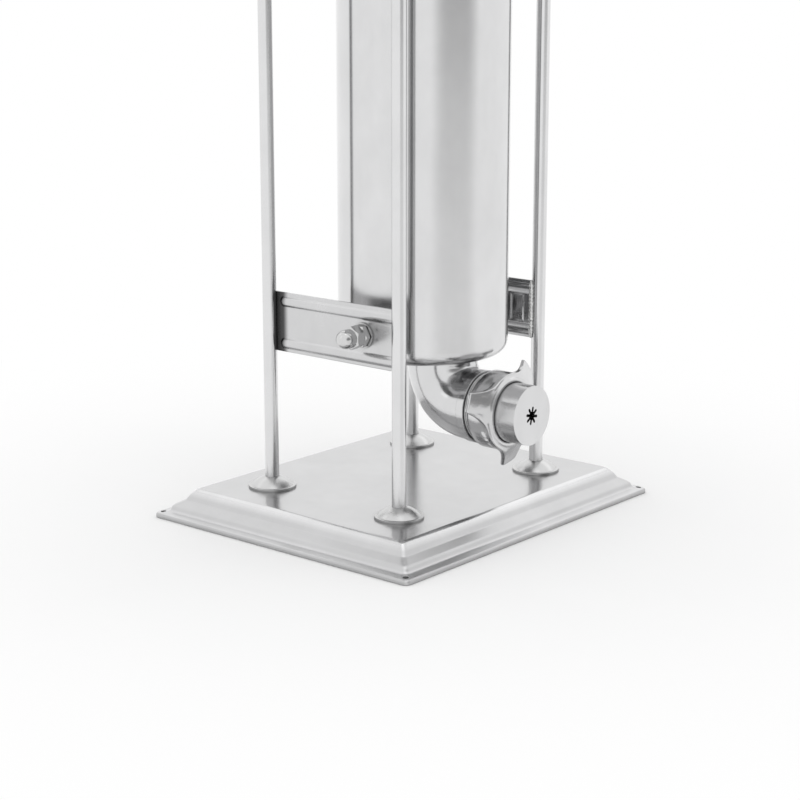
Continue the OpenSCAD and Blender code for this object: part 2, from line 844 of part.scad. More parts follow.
// Hollow quarter bend, joining the upright leg and the level leg
module elbow_bend() {
    translate([0, bend_y, bend_z])
        rotate([0, 0, QUARTER])
            rotate([QUARTER, 0, 0])
                rotate([0, 0, -QUARTER])
                    rotate_extrude(angle = QUARTER, $fn = FN)
                        translate([bend_r, 0])
                            difference() {
                                circle(r = elbow_r, $fn = FN);
                                circle(r = elbow_bore_r, $fn = FN);
                            }
}

module elbow() {
    color("silver") {
        translate([0, elbow_y, bend_z]) ring(elbow_r, elbow_bore_r, cyl_z - bend_z);
        elbow_bend();
        level_pipe(elbow_r, elbow_bore_r, -bend_y, collar_front);
        level_pipe(collar_r, elbow_bore_r, collar_front, thread_front);
        level_pipe(thread_r, elbow_bore_r, thread_front, elbow_end_front);
    }
}

// Nozzle and its nut

module nozzle_gasket() {
    color("dimgray")
        difference() {
            level_bar(nozzle_flange_r, elbow_end_front, gasket_front);
            level_bar(elbow_bore_r, elbow_end_front - cut, gasket_front + cut);
        }
}

module star_hole(h) {
    for (i = [0:STAR_BARS - 1])
        rotate([0, 0, STAR_TURN + i * TURN / (2 * STAR_BARS)]) {
            translate([-star_r + star_ray_w / 2, -star_ray_w / 2, 0])
                cube([2 * star_r - star_ray_w, star_ray_w, h]);
            for (s = [-1, 1])
                translate([s * (star_r - star_ray_w / 2), 0, 0])
                    cylinder(r = star_ray_w / 2, h = h, $fn = SOFT_FN);
        }
    cylinder(r = star_core_r, h = h, $fn = SOFT_FN);
}

module nozzle() {
    color("silver")
        difference() {
            union() {
                level_bar(nozzle_flange_r, gasket_front, flange_front);
                level_bar(nozzle_r, gasket_front, nozzle_front);
            }
            level_bar(nozzle_cavity_r, gasket_front - cut, nozzle_front - nozzle_face_t);
            translate([0, -nozzle_front - cut, outlet_z])
                rotate([-QUARTER, 0, 0]) star_hole(nozzle_face_t + 2 * cut);
        }
}

// Flat outline of the wings: straight blades hollowed beside the hub
module wing_outline() {
    mid = nut_hub_r + wing_hollow_r - wing_bite;
    tip = sqrt(pow(nut_tip_r, 2) - pow(wing_half_w, 2));
    lean = atan(wing_half_w / tip);
    swing = lean + acos((pow(mid, 2) + pow(nut_tip_r, 2) - pow(wing_hollow_r, 2))
        / (2 * mid * nut_tip_r));
    base_x = nut_hub_r * cos(swing);
    base_y = nut_hub_r * sin(swing);
    blank_w = wing_half_w + wing_bite;
    difference() {
        polygon([[0, -base_y], [base_x, -base_y], [tip, -blank_w], [tip, blank_w],
            [base_x, base_y], [0, base_y]]);
        for (s = [-1, 1])
            translate([mid * cos(swing), s * mid * sin(swing)])
                circle(r = wing_hollow_r, $fn = FN);
    }
}

module nozzle_nut() {
    hub_front = nut_lip_front - wing_tip_t / 2;
    wing_front = hub_front - wing_sweep;
    root_r = nut_hub_r - wing_bite;
    root_front = hub_front - wing_bite / 2;
    shoulder = flange_front + side_gap;
    color("silver")
        difference() {
            union() {
                level_bar(nut_hub_r, nut_back_front, hub_front);
                level_bar((nut_hub_r + nozzle_r) / 2, nut_back_front, nut_lip_front);
                intersection() {
                    translate([0, -nut_back_front, outlet_z])
                        along_front()
                            for (a = WING_ANGLES)
                                rotate([0, 0, a])
                                    linear_extrude(height = nut_lip_front - nut_back_front)
                                        wing_outline();
                    translate([0, 0, outlet_z])
                        along_front()
                            rotate_extrude($fn = FN)
                                polygon([[0, root_front - wing_root_t],
                                    [root_r, root_front - wing_root_t],
                                    [nut_tip_r + cut, wing_front - wing_tip_t],
                                    [nut_tip_r + cut, wing_front], [root_r, root_front],
                                    [0, root_front]]);
                }
            }
            level_bar(thread_r + running, nut_back_front - cut, shoulder);
            level_bar(nozzle_r + free_gap, shoulder - cut, nut_lip_front + cut);
        }
}

// Head and gearbox

module head_plate() {
    color("silver")
        difference() {
            translate([0, 0, head_z])
                rounded_plate(-head_half_w, head_half_w, -head_half_d, head_half_d,
                    head_corner_r, head_t);
            at_posts(head_z - cut) cylinder(r = post_end_r + hole_gap, h = head_t + 2 * cut,
                $fn = FN);
            translate([-rack_w / 2 - plate_slot_gap, rack_back_y - plate_slot_gap, head_z - cut])
                cube([rack_w + 2 * plate_slot_gap, rack_w + 2 * plate_slot_gap,
                    head_t + 2 * cut]);
            at_cheek_screws(head_z - cut)
                cylinder(r = screw_r + hole_gap, h = head_t + 2 * cut, $fn = FN);
            at_guide_screws(head_z - cut)
                cylinder(r = guide_screw_r + hole_gap, h = head_t + 2 * cut, $fn = FN);
        }
}

module at_cheek_screws(z) {
    for (sx = [-1, 1], y = [-cheek_screw_front, cheek_screw_rear])
        translate([sx * (cheek_x + cheek_t / 2), y, z]) children();
}

module at_guide_screws(z) {
    for (sx = [-1, 1]) translate([sx * guide_screw_x, -guide_screw_front, z]) children();
}

module post_top_washers() {
    color("silver")
        at_posts(head_top) ring(post_washer_r, post_end_r + hole_gap, post_washer_t);
}

module post_cap_nuts() {
    color("silver")
        at_posts(head_top + post_washer_t)
            cap_nut(post_nut_af, cap_hex_h, cap_dome_r, cap_hex_h / 4, post_end_r + fit,
                post_top_len - head_t - post_washer_t + hole_gap);
}

module at_shafts(x) {
    for (p = [[fast_y, fast_z], [slow_y, slow_z]])
        translate([x, p[0], p[1]]) along_x() children();
}

module cover_screw_spots(side, x) {
    for (p = [[-cover_screw_front, cover_screw_h], [cover_screw_y, cover_screw_top]])
        mirror([side, 0, 0])
            translate([x, p[0], head_top + p[1]])
                rotate([0, -QUARTER, 0]) children();
}

module cheek(side) {
    color("lightsteelblue")
        difference() {
            mirror([side, 0, 0])
                translate([cheek_x, -cheek_front, head_top])
                    cube([cheek_t, cheek_front + cheek_rear, cheek_h]);
            mirror([side, 0, 0])
                at_shafts(cheek_x - cut)
                    cylinder(r = bush_r + fit, h = cheek_t + 2 * cut, $fn = FN);
            at_cheek_screws(head_top - cut)
                cylinder(r = screw_r + fit, h = cheek_screw_len, $fn = FN);
            cover_screw_spots(side, cover_x + cut)
                cylinder(r = screw_r + fit, h = cheek_t + 2 * cut, $fn = FN);
        }
}

module cheek_screws() {
    color("silver")
        at_cheek_screws(head_z)
            head_screw(screw_r, cheek_screw_len, screw_head_r, screw_head_h);
}

module rack_guide() {
    w = rack_w + 2 * running;
    color("white")
        difference() {
            union() {
                translate([-guide_half_w, -guide_front, head_top])
                    cube([2 * guide_half_w, guide_front - guide_rear, guide_h]);
                translate([-guide_half_w, -guide_front, head_top])
                    cube([2 * guide_half_w, guide_front + rack_back_y, guide_back_h]);
            }
            translate([-w / 2, rack_back_y - running, head_top - cut])
                cube([w, w, guide_back_h + 2 * cut]);
            at_guide_screws(head_top - cut)
                cylinder(r = guide_screw_r + fit, h = guide_screw_len, $fn = FN);
        }
}

module guide_screws() {
    color("silver")
        at_guide_screws(head_z)
            head_screw(guide_screw_r, guide_screw_len, guide_screw_head_r, screw_head_h);
}

module bearing_bushes() {
    color("goldenrod")
        for (side = [0, 1])
            mirror([side, 0, 0])
                at_shafts(cheek_x) ring(bush_r, shaft_r + running, cheek_t);
}

module gearbox_cover() {
    y0 = -cheek_front - cover_end_gap;
    y1 = cheek_rear + cover_end_gap;
    x1 = cover_x + cover_t;
    color("gainsboro")
        difference() {
            translate([0, 0, head_top])
                rounded_plate(-x1, x1, y0 - cover_t, y1 + cover_t, cover_corner_r, cover_h);
            translate([0, 0, head_top - cut])
                rounded_plate(-cover_x, cover_x, y0, y1, cover_corner_r - cover_t,
                    cover_h - cover_t + cut);
            translate([-rack_w / 2 - slot_gap, rack_back_y - slot_gap, head_top])
                cube([rack_w + 2 * slot_gap, rack_w + 2 * slot_gap, cover_h + cut]);
            at_shafts(cover_x - cut)
                cylinder(r = shaft_r + shaft_hole_gap, h = cover_t + 2 * cut, $fn = FN);
            for (side = [0, 1])
                cover_screw_spots(side, x1 + cut)
                    cylinder(r = screw_r + hole_gap, h = cover_t + 2 * cut, $fn = FN);
        }
}

module cover_screws() {
    color("silver")
        for (side = [0, 1])
            cover_screw_spots(side, cover_x + cover_t)
                head_screw(screw_r, cover_screw_reach, screw_head_r, screw_head_h);
}

// Gear teeth

// Angle that an involute has swept at radius r, in degrees
function swept(base_r, r) = let (a = acos(min(1, base_r / r))) tan(a) * TURN / (2 * PI) - a;

// Half the angle of a tooth at radius r
function half_tooth(teeth, r) = let (p = gear_m * teeth / 2, b = p * cos(pressure_angle))
    TURN / (4 * teeth) - tooth_play / (2 * p) * TURN / (2 * PI) + swept(b, p) - swept(b, r);

function polar(r, a) = [r * cos(a), r * sin(a)];

// Outline of a spur gear with involute flanks, first tooth centred on angle turn
function gear_outline(teeth, turn) = let (
        p = gear_m * teeth / 2,
        root = p - dedendum,
        low = max(root, p * cos(pressure_angle)),
        tip = p + addendum,
        radii = [for (i = [0:FLANK_STEPS]) low + (tip - low) * i / FLANK_STEPS])
    [for (k = [0:teeth - 1]) let (c = turn + k * TURN / teeth)
        each concat(
            [polar(root, c - half_tooth(teeth, low))],
            [for (i = [low > root ? 0 : 1:FLANK_STEPS])
                polar(radii[i], c - half_tooth(teeth, radii[i]))],
            [for (i = [FLANK_STEPS:-1:low > root ? 0 : 1])
                polar(radii[i], c + half_tooth(teeth, radii[i]))],
            [polar(root, c + half_tooth(teeth, low))])];

// Outline of the rack in Y and Z, a tooth centred level with the fast shaft
function rack_outline() = let (
        slope = tan(pressure_angle),
        mid = pitch / 4 - tooth_play / 2,
        at_root = mid + dedendum * slope,
        at_tip = mid - addendum * slope,
        root_y = rack_pitch_y - dedendum,
        below = floor((travel + pinion_r) / pitch),
        above = ceil(pinion_r / pitch) + 1)
    concat(
        [[rack_back_y, piston_top], [rack_face_y, piston_top],
            [rack_face_y, fast_z - (below + HALF_SHARE) * pitch],
            [root_y, fast_z - (below + HALF_SHARE) * pitch]],
        [for (k = [-below:above]) let (c = fast_z + k * pitch)
            each [[root_y, c - at_root], [rack_face_y, c - at_tip],
                [rack_face_y, c + at_tip], [root_y, c + at_root]]],
        [[root_y, fast_z + (above + HALF_SHARE) * pitch],
            [rack_face_y, fast_z + (above + HALF_SHARE) * pitch],
            [rack_face_y, rack_top_z], [rack_back_y, rack_top_z]]);

// Round bar along X, placed by its two ends
module bar_x(r, x0, x1) {
    translate([x0, 0, 0]) along_x() cylinder(r = r, h = x1 - x0, $fn = FN);
}

// Grooves for the two retaining rings of a shaft, inside the cheeks
module ring_grooves() {
    for (s = [-1, 1])
        translate([s * (cheek_x - side_gap - groove_t / 2) - groove_t / 2, 0, 0])
            along_x() ring(shaft_mid_r + cut, ring_inner_r - fit, groove_t);
}

module shaft_rings() {
    for (s = [-1, 1])
        translate([s * (cheek_x - side_gap - groove_t / 2) - ring_t / 2, 0, 0])
            difference() {
                along_x() ring(ring_r, ring_inner_r, ring_t);
                translate([-cut, -ring_gap / 2, 0])
                    cube([ring_t + 2 * cut, ring_gap, ring_r + cut]);
            }
}

// Turned down end of a shaft with one flat, that the crank fits on
module shaft_end() {
    difference() {
        bar_x(end_r, crank_x - cut, shaft_end_x);
        translate([crank_x, -shaft_mid_r, flat_at])
            cube([shaft_end_len + cut, 2 * shaft_mid_r, shaft_mid_r]);
        bar_x(crank_bolt_r + fit, shaft_end_x - crank_bolt_len, shaft_end_x + cut);
    }
}

module fast_shaft() {
    inner = cheek_x - side_gap - 2 * groove_t;
    color("silver")
        translate([0, fast_y, fast_z])
            difference() {
                union() {
                    bar_x(shaft_r, -shaft_left_x, crank_x);
                    bar_x(shaft_mid_r, -inner, wheel_x);
                    shaft_end();
                    slab_yz(-rack_pinion_w / 2, rack_pinion_w)
                        polygon(gear_outline(pinion_teeth, TURN / 2 + pinion_half));
                }
                ring_grooves();
                translate([wheel_x + wheel_w + wheel_pin_inset, 0, -wheel_hub_r])
                    cylinder(r = wheel_pin_r + fit, h = 2 * wheel_hub_r, $fn = FN);
            }
}

module spur_wheel() {
    color("gray")
        translate([0, fast_y, fast_z])
            difference() {
                union() {
                    slab_yz(wheel_x, wheel_w)
                        polygon(gear_outline(wheel_teeth, wheel_angle));
                    bar_x(wheel_hub_r, wheel_x, wheel_x + wheel_w + wheel_hub_len);
                }
                bar_x(shaft_r + fit, wheel_x - cut, wheel_x + wheel_w + wheel_hub_len + cut);
                translate([wheel_x + wheel_web_t, 0, 0])
                    along_x() ring(wheel_rim_r, wheel_hub_r, wheel_w);
                for (i = [0:WHEEL_HOLES - 1])
                    rotate([i * TURN / WHEEL_HOLES, 0, 0])
                        translate([0, wheel_hole_at, 0])
                            bar_x(wheel_hole_r, wheel_x - cut, wheel_x + wheel_w + cut);
                translate([wheel_x + wheel_w + wheel_pin_inset, 0, -wheel_hub_r - cut])
                    cylinder(r = wheel_pin_r + fit, h = 2 * (wheel_hub_r + cut), $fn = FN);
            }
}

module wheel_pin() {
    color("silver")
        translate([wheel_x + wheel_w + wheel_pin_inset, fast_y, fast_z - wheel_hub_r])
            cylinder(r = wheel_pin_r, h = 2 * wheel_hub_r, $fn = FN);
}

module fast_shaft_rings() {
    color("dimgray") translate([0, fast_y, fast_z]) shaft_rings();
}

module slow_shaft() {
    inner = cheek_x - side_gap - 2 * groove_t;
    color("silver")
        translate([0, slow_y, slow_z])
            difference() {
                union() {
                    bar_x(shaft_r, -shaft_left_x, crank_x);
                    bar_x(shaft_mid_r, -inner, inner);
                    shaft_end();
                    slab_yz(wheel_x - pinion_over, wheel_w + 2 * pinion_over)
                        polygon(gear_outline(pinion_teeth,
                            wheel_angle + TURN / 2 + pinion_half));
                }
                ring_grooves();
            }
}

module slow_shaft_rings() {
    color("dimgray") translate([0, slow_y, slow_z]) shaft_rings();
}

// Crank

module crank_arm() {
    color("silver")
        translate([0, slow_y, slow_z])
            difference() {
                union() {
                    bar_x(crank_hub_r, crank_x, arm_face);
                    translate([arm_x, -crank_len, -crank_w / 2])
                        cube([crank_t, crank_len, crank_w]);
                    translate([0, -crank_len, 0]) bar_x(crank_w / 2, arm_x, arm_face);
                }
                difference() {
                    bar_x(end_r + fit, crank_x - cut, shaft_end_x + fit);
                    translate([crank_x - 2 * cut, -crank_hub_r, flat_at + fit])
                        cube([crank_hub_len + 2 * cut, 2 * crank_hub_r, crank_hub_r]);
                }
                bar_x(crank_bolt_r + hole_gap, shaft_end_x - cut, arm_face + cut);
                translate([0, -crank_len, 0])
                    bar_x(spindle_r + fit, arm_x - cut, arm_face + cut);
            }
}

module crank_washer() {
    color("silver")
        translate([arm_face, slow_y, slow_z])
            along_x() ring(crank_washer_r, crank_bolt_r + hole_gap, crank_washer_t);
}

module crank_bolt() {
    head_x = arm_face + crank_washer_t;
    color("silver")
        translate([0, slow_y, slow_z]) {
            bar_x(crank_bolt_r, shaft_end_x - crank_bolt_len + side_gap, head_x);
            translate([head_x, 0, 0])
                along_x() hex_blank(crank_bolt_af, crank_bolt_h, false);
        }
}

module grip_spindle() {
    color("silver")
        translate([0, grip_y, slow_z]) {
            bar_x(spindle_r, arm_x, grip_end + side_gap);
            bar_x(spindle_collar_r, arm_face, grip_x - side_gap);
            bar_x(spindle_head_r, grip_end + side_gap, grip_end + side_gap + spindle_head_t);
        }
}

module grip() {
    color("black")
        translate([grip_x, grip_y, slow_z])
            along_x()
                difference() {
                    rotate_extrude($fn = FN)
                        polygon(concat([[0, 0]],
                            [for (s = GRIP_SHARES) [s[1] * grip_r, s[0] * grip_len]],
                            [[0, grip_len]]));
                    translate([0, 0, -cut])
                        cylinder(r = spindle_r + running, h = grip_len + 2 * cut, $fn = FN);
                }
}

// Rack and piston

module rack() {
    spigot_end = piston_z - piston_washer_t - piston_nut_h;
    color("silver")
        difference() {
            union() {
                slab_yz(-rack_w / 2, rack_w) polygon(rack_outline());
                translate([0, cyl_y, spigot_end])
                    cylinder(r = spigot_r, h = piston_top - spigot_end + cut, $fn = FN);
            }
            translate([0, cyl_y, rack_top_z - stop_screw_len])
                cylinder(r = stop_screw_r + fit, h = stop_screw_len + cut, $fn = FN);
        }
}

module rack_stop_screw() {
    color("silver")
        translate([0, cyl_y, rack_top_z]) {
            translate([0, 0, side_gap - stop_screw_len])
                cylinder(r = stop_screw_r, h = stop_screw_len - side_gap, $fn = FN);
            difference() {
                cylinder(r = stop_head_r, h = stop_head_t, $fn = FN);
                translate([0, 0, stop_head_t / 2])
                    cylinder(r = stop_screw_r, h = stop_head_t, $fn = HEX);
            }
        }
}

// Holes for the spigot and the vent valve through a piston layer
module piston_holes(z, t) {
    translate([0, cyl_y, z - cut]) cylinder(r = spigot_r + fit, h = t + 2 * cut, $fn = FN);
    translate([vent_x, cyl_y, z - cut]) cylinder(r = vent_r + running, h = t + 2 * cut, $fn = FN);
}

module piston_plate(z) {
    color("silver")
        difference() {
            translate([0, cyl_y, z]) cylinder(r = piston_r, h = plate_t, $fn = FN);
            piston_holes(z, plate_t);
        }
}

module piston_seal() {
    z = piston_z + plate_t;
    reach = seal_r - piston_r;
    color("white")
        difference() {
            translate([0, cyl_y, z])
                rotate_extrude($fn = FN)
                    polygon(concat([[0, 0]],
                        [for (s = SEAL_SHARES) [piston_r + s[1] * reach, s[0] * seal_t]],
                        [[0, seal_t]]));
            piston_holes(z, seal_t);
        }
}

module piston_washer() {
    color("silver")
        translate([0, cyl_y, piston_z - piston_washer_t])
            ring(WASHER_SHARE * spigot_r, spigot_r + fit, piston_washer_t);
}

module piston_nut() {
    neck = piston_nut_h / 4;
    color("silver")
        translate([0, cyl_y, piston_z - piston_washer_t])
            mirror([0, 0, 1])
                difference() {
                    union() {
                        hex_blank(piston_nut_af, piston_nut_h, false);
                        cylinder(r = spigot_r + 2 * neck, h = piston_nut_h + neck, $fn = FN);
                    }
                    translate([0, 0, -cut])
                        cylinder(r = spigot_r + fit, h = piston_nut_h + cut + fit, $fn = FN);
                }
}

vent_top = piston_top + vent_spring_h;

module vent_valve() {
    color("silver")
        translate([vent_x, cyl_y, 0]) {
            translate([0, 0, piston_z - side_gap - vent_head_t])
                cylinder(r = vent_head_r, h = vent_head_t, $fn = FN);
            translate([0, 0, piston_z - side_gap - vent_head_t])
                cylinder(r = vent_r, h = vent_top + vent_cap_t + vent_head_t + side_gap
                    - piston_z, $fn = FN);
        }
}

module vent_cap() {
    color("silver")
        translate([vent_x, cyl_y, vent_top]) ring(vent_head_r, vent_r + fit, vent_cap_t);
}

// Coil of round wire between two heights
module coil(r, wire_r, h, turns) {
    n = turns * COIL_STEPS;
    points = [for (i = [0:n], j = [0:COIL_SIDES - 1]) let (
            a = i * TURN / COIL_STEPS,
            b = j * TURN / COIL_SIDES,
            q = r + wire_r * cos(b))
        [q * cos(a), q * sin(a), wire_r + (h - 2 * wire_r) * i / n + wire_r * sin(b)]];
    sides = [for (i = [0:n - 1], j = [0:COIL_SIDES - 1]) let (k = (j + 1) % COIL_SIDES)
        each [[i * COIL_SIDES + j, i * COIL_SIDES + k, (i + 1) * COIL_SIDES + k],
            [i * COIL_SIDES + j, (i + 1) * COIL_SIDES + k, (i + 1) * COIL_SIDES + j]]];
    first = [for (j = [COIL_SIDES - 1:-1:0]) j];
    last = [for (j = [0:COIL_SIDES - 1]) n * COIL_SIDES + j];
    polyhedron(points = points, faces = concat(sides, [first], [last]), convexity = turns);
}

module vent_spring() {
    color("lightgray")
        translate([vent_x, cyl_y, piston_top])
            coil(coil_r, coil_wire_r, vent_spring_h, COIL_TURNS);
}

base_pan();
post(-1, -1);  // post_front_left
post(1, -1);  // post_front_right
post(-1, 1);  // post_rear_left
post(1, 1);  // post_rear_right
post_flange(-1, -1);  // flange_front_left
post_flange(1, -1);  // flange_front_right
post_flange(-1, 1);  // flange_rear_left
post_flange(1, 1);  // flange_rear_right
foot_washers();
foot_nuts();
rail(1);  // rail_left
rail(0);  // rail_right
rail_welds();
cylinder_barrel();  // cylinder
pivot_pads();
pivot_studs();
pivot_washers();
pivot_jam_nuts();
pivot_cap_nuts();
elbow();
nozzle_gasket();
nozzle();
nozzle_nut();
head_plate();
post_top_washers();
post_cap_nuts();
cheek(1);  // cheek_left
cheek(0);  // cheek_right
cheek_screws();
rack_guide();
guide_screws();
bearing_bushes();
gearbox_cover();
cover_screws();
fast_shaft();
spur_wheel();
wheel_pin();
fast_shaft_rings();
slow_shaft();
slow_shaft_rings();
crank_arm();
crank_washer();
crank_bolt();
grip_spindle();
grip();
rack();
rack_stop_screw();
piston_plate(piston_z + plate_t + seal_t);  // piston_top_plate
piston_seal();
piston_plate(piston_z);  // piston_bottom_plate
piston_washer();
piston_nut();
vent_valve();
vent_cap();
vent_spring();
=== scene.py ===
import json
import math

import bmesh
import bpy
from mathutils import Matrix, Vector, noise


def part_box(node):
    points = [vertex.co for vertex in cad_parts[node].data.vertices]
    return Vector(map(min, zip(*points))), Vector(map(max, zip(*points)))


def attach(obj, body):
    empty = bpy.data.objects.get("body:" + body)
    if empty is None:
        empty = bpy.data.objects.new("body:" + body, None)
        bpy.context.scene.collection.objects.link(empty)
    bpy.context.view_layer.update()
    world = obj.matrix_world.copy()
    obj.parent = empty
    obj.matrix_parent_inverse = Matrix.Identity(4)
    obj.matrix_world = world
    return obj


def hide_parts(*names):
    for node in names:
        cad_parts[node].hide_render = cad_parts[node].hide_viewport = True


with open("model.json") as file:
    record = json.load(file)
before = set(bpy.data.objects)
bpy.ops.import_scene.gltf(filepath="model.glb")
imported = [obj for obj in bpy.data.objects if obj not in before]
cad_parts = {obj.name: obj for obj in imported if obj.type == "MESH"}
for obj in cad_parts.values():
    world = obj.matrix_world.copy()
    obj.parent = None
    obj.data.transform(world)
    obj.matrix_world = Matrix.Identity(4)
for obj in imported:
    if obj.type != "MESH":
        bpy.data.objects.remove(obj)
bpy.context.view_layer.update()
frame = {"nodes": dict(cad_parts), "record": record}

NODES = frame["nodes"]
X, Y, Z = 0, 1, 2


def middle(node, axis):
    """The middle of a CAD node's box along an axis."""
    low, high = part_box(node)
    return (low[axis] + high[axis]) / 2


def micron(value):
    """A size to the nearest micrometre, as the frame's boxes are in single precision."""
    return round(value, 6)


# Sizes taken from the frame, in metres

PAN_LOW, PAN_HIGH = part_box("base_pan")
BASE_W, BASE_D, BASE_H = [micron(side) for side in PAN_HIGH - PAN_LOW]
POST_LOW, POST_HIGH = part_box("post_front_right")
POST_X = micron(middle("post_front_right", X))
POST_Y = -micron(middle("post_front_right", Y))
POST_R = micron((POST_HIGH.x - POST_LOW.x) / 2)
RAIL_LOW, RAIL_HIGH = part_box("rail_right")
RAIL_X, RAIL_Z = micron(RAIL_LOW.x), micron(RAIL_LOW.z)
RAIL_H = micron(RAIL_HIGH.z - RAIL_LOW.z)
BEAD_R = micron(RAIL_HIGH.x - RAIL_X)
PIVOT_Y = micron(middle("pivot_cap_nuts", Y))
OUTLET_Z = micron(middle("nozzle", Z))
NUT_LOW, NUT_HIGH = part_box("nozzle_nut")
NUT_LIP, NUT_BACK = micron(NUT_LOW.y), micron(NUT_HIGH.y)

# Sizes that the frame's boxes don't give, in metres

PAN_T = 0.0015
PAN_SLOPE_W = 0.0275
PAN_LIP_H = 0.004
PAN_CORNER_R = 0.005
FIX_INSET = 0.006
FIX_R = 0.0025
PAN_SHARES = [(0, 0), (0.31, 0.07), (0.36, 0.26), (0.42, 0.33), (0.67, 0.53), (0.76, 0.74),
              (0.90, 0.94), (1, 1)]
RAIL_T = 0.0025
BEAD_INSET = 0.0075
RECESS, RECESS_END, RECESS_LAND = 0.0012, 0.012, 0.012
CYL_Y = -0.019
THREAD_R = 0.0284
NOZZLE_R = 0.0253
NUT_BORE_R = 0.0287
NUT_HUB_R, NUT_TIP_R = 0.033, 0.049
NUT_SHOULDER = -0.1113
NOZZLE_GAP_R = 0.0256
WING_T, WING_ROOT_T, WING_SWEEP = 0.00325, 0.005, 0.009
WING_HALF_W, WING_HOLLOW_R = 0.0088, 0.032
WING_ANGLES = (42, 162, 282)


# Mesh helpers

FILLET_ROOM_SHARE = 0.48
STRAIGHT_TURN = 0.02


def make_object(name, verts, faces, smooth=True):
    """A mesh object in the scene, with its faces turned outwards."""
    mesh = bpy.data.meshes.new(name)
    mesh.from_pydata([tuple(v) for v in verts], [], faces)
    mesh.validate()
    bm = bmesh.new()
    bm.from_mesh(mesh)
    bmesh.ops.recalc_face_normals(bm, faces=bm.faces)
    bm.to_mesh(mesh)
    bm.free()
    for p in mesh.polygons:
        p.use_smooth = smooth
    obj = bpy.data.objects.new(name, mesh)
    bpy.context.scene.collection.objects.link(obj)
    return obj


def sharpen(obj, degrees):
    """Splits the shading at edges sharper than this, so flats stay flat."""
    mesh = obj.data
    bm = bmesh.new()
    bm.from_mesh(mesh)
    limit = math.radians(degrees)
    for e in bm.edges:
        if len(e.link_faces) == 2 and e.calc_face_angle(0) > limit:
            e.smooth = False
    bm.to_mesh(mesh)
    bm.free()


def loft(loops, close_rows=False):
    """Vertices and quads through loops of equal length; close_rows joins the last to the first."""
    n = len(loops[0])
    verts = [p for loop in loops for p in loop]
    faces = []
    rows = len(loops) if close_rows else len(loops) - 1
    for i in range(rows):
        a, b = i * n, ((i + 1) % len(loops)) * n
        for j in range(n):
            k = (j + 1) % n
            faces.append((a + j, a + k, b + k, b + j))
    return verts, faces


def fillet(points, radius, steps):
    """A polyline with its inner corners rounded to a radius, or to as much of it as fits."""
    out = [Vector(points[0])]
    for i in range(1, len(points) - 1):
        a, p, b = Vector(points[i - 1]), Vector(points[i]), Vector(points[i + 1])
        u, v = (a - p), (b - p)
        room = min(u.length, v.length) * FILLET_ROOM_SHARE
        u.normalize()
        v.normalize()
        turn = math.pi - u.angle(v, math.pi)
        if turn < STRAIGHT_TURN:
            out.append(p)
            continue
        reach = min(room, radius * math.tan(turn / 2))
        start, end = p + u * reach, p + v * reach
        for s in range(steps + 1):
            t = s / steps
            out.append(start * (1 - t) ** 2 + p * 2 * t * (1 - t) + end * t ** 2)
    out.append(Vector(points[-1]))
    return out


def rounded_rect(half_w, half_d, radius, z, steps=6):
    """A rectangle's outline, with points on its round corners only."""
    pts = []
    for cx, cy, a0 in ((1, 1, 0), (-1, 1, 90), (-1, -1, 180), (1, -1, 270)):
        for s in range(steps + 1):
            a = math.radians(a0 + 90 * s / steps)
            pts.append(Vector((cx * (half_w - radius) + radius * math.cos(a),
                               cy * (half_d - radius) + radius * math.sin(a), z)))
    return pts


def apply_modifiers(obj):
    """Puts the mesh that the modifiers give in place of the object's own."""
    deps = bpy.context.evaluated_depsgraph_get()
    mesh = bpy.data.meshes.new_from_object(obj.evaluated_get(deps))
    obj.modifiers.clear()
    obj.data = mesh


# Shader node helpers

MIX_COLOUR_A, MIX_COLOUR_B, MIX_COLOUR_OUT = 6, 7, 2
SPIN_SCALE = 1.2
RAMP_TOP = 1.5


def node_tree(name):
    """A new material with nothing but a principled shader and its output."""
    mat = bpy.data.materials.new(name)
    mat.use_nodes = True
    nt = mat.node_tree
    nt.nodes.clear()
    out = nt.nodes.new("ShaderNodeOutputMaterial")
    bsdf = nt.nodes.new("ShaderNodeBsdfPrincipled")
    nt.links.new(bsdf.outputs["BSDF"], out.inputs["Surface"])
    return mat, nt, bsdf


def feed(nt, socket, value):
    """Gives an input a link, or a plain number or vector on its own socket."""
    if isinstance(value, bpy.types.NodeSocket):
        nt.links.new(value, socket)
    else:
        socket.default_value = value


def math_node(nt, op, a, b=0.0):
    n = nt.nodes.new("ShaderNodeMath")
    n.operation = op
    feed(nt, n.inputs[0], a)
    feed(nt, n.inputs[1], b)
    return n.outputs[0]


def vector_math(nt, op, a, b=None):
    n = nt.nodes.new("ShaderNodeVectorMath")
    n.operation = op
    feed(nt, n.inputs[0], a)
    if b is not None:
        feed(nt, n.inputs[1], b)
    return n


def map_range(nt, value, low, high, at_low=0.0, at_high=1.0, kind="SMOOTHSTEP"):
    """A value's run from low to high, turned into a run from at_low to at_high."""
    step = nt.nodes.new("ShaderNodeMapRange")
    step.interpolation_type = kind
    for socket, number in (("Value", value), ("From Min", low), ("From Max", high),
                           ("To Min", at_low), ("To Max", at_high)):
        feed(nt, step.inputs[socket], number)
    return step.outputs[0]


def clamp(nt, value, low=0.0, high=1.0):
    n = nt.nodes.new("ShaderNodeClamp")
    for socket, number in (("Value", value), ("Min", low), ("Max", high)):
        feed(nt, n.inputs[socket], number)
    return n.outputs[0]


def centred(nt, value, reach):
    """A noise value moved to swing about zero, by half of reach to each side."""
    return math_node(nt, "MULTIPLY", math_node(nt, "SUBTRACT", value, 0.5), reach)


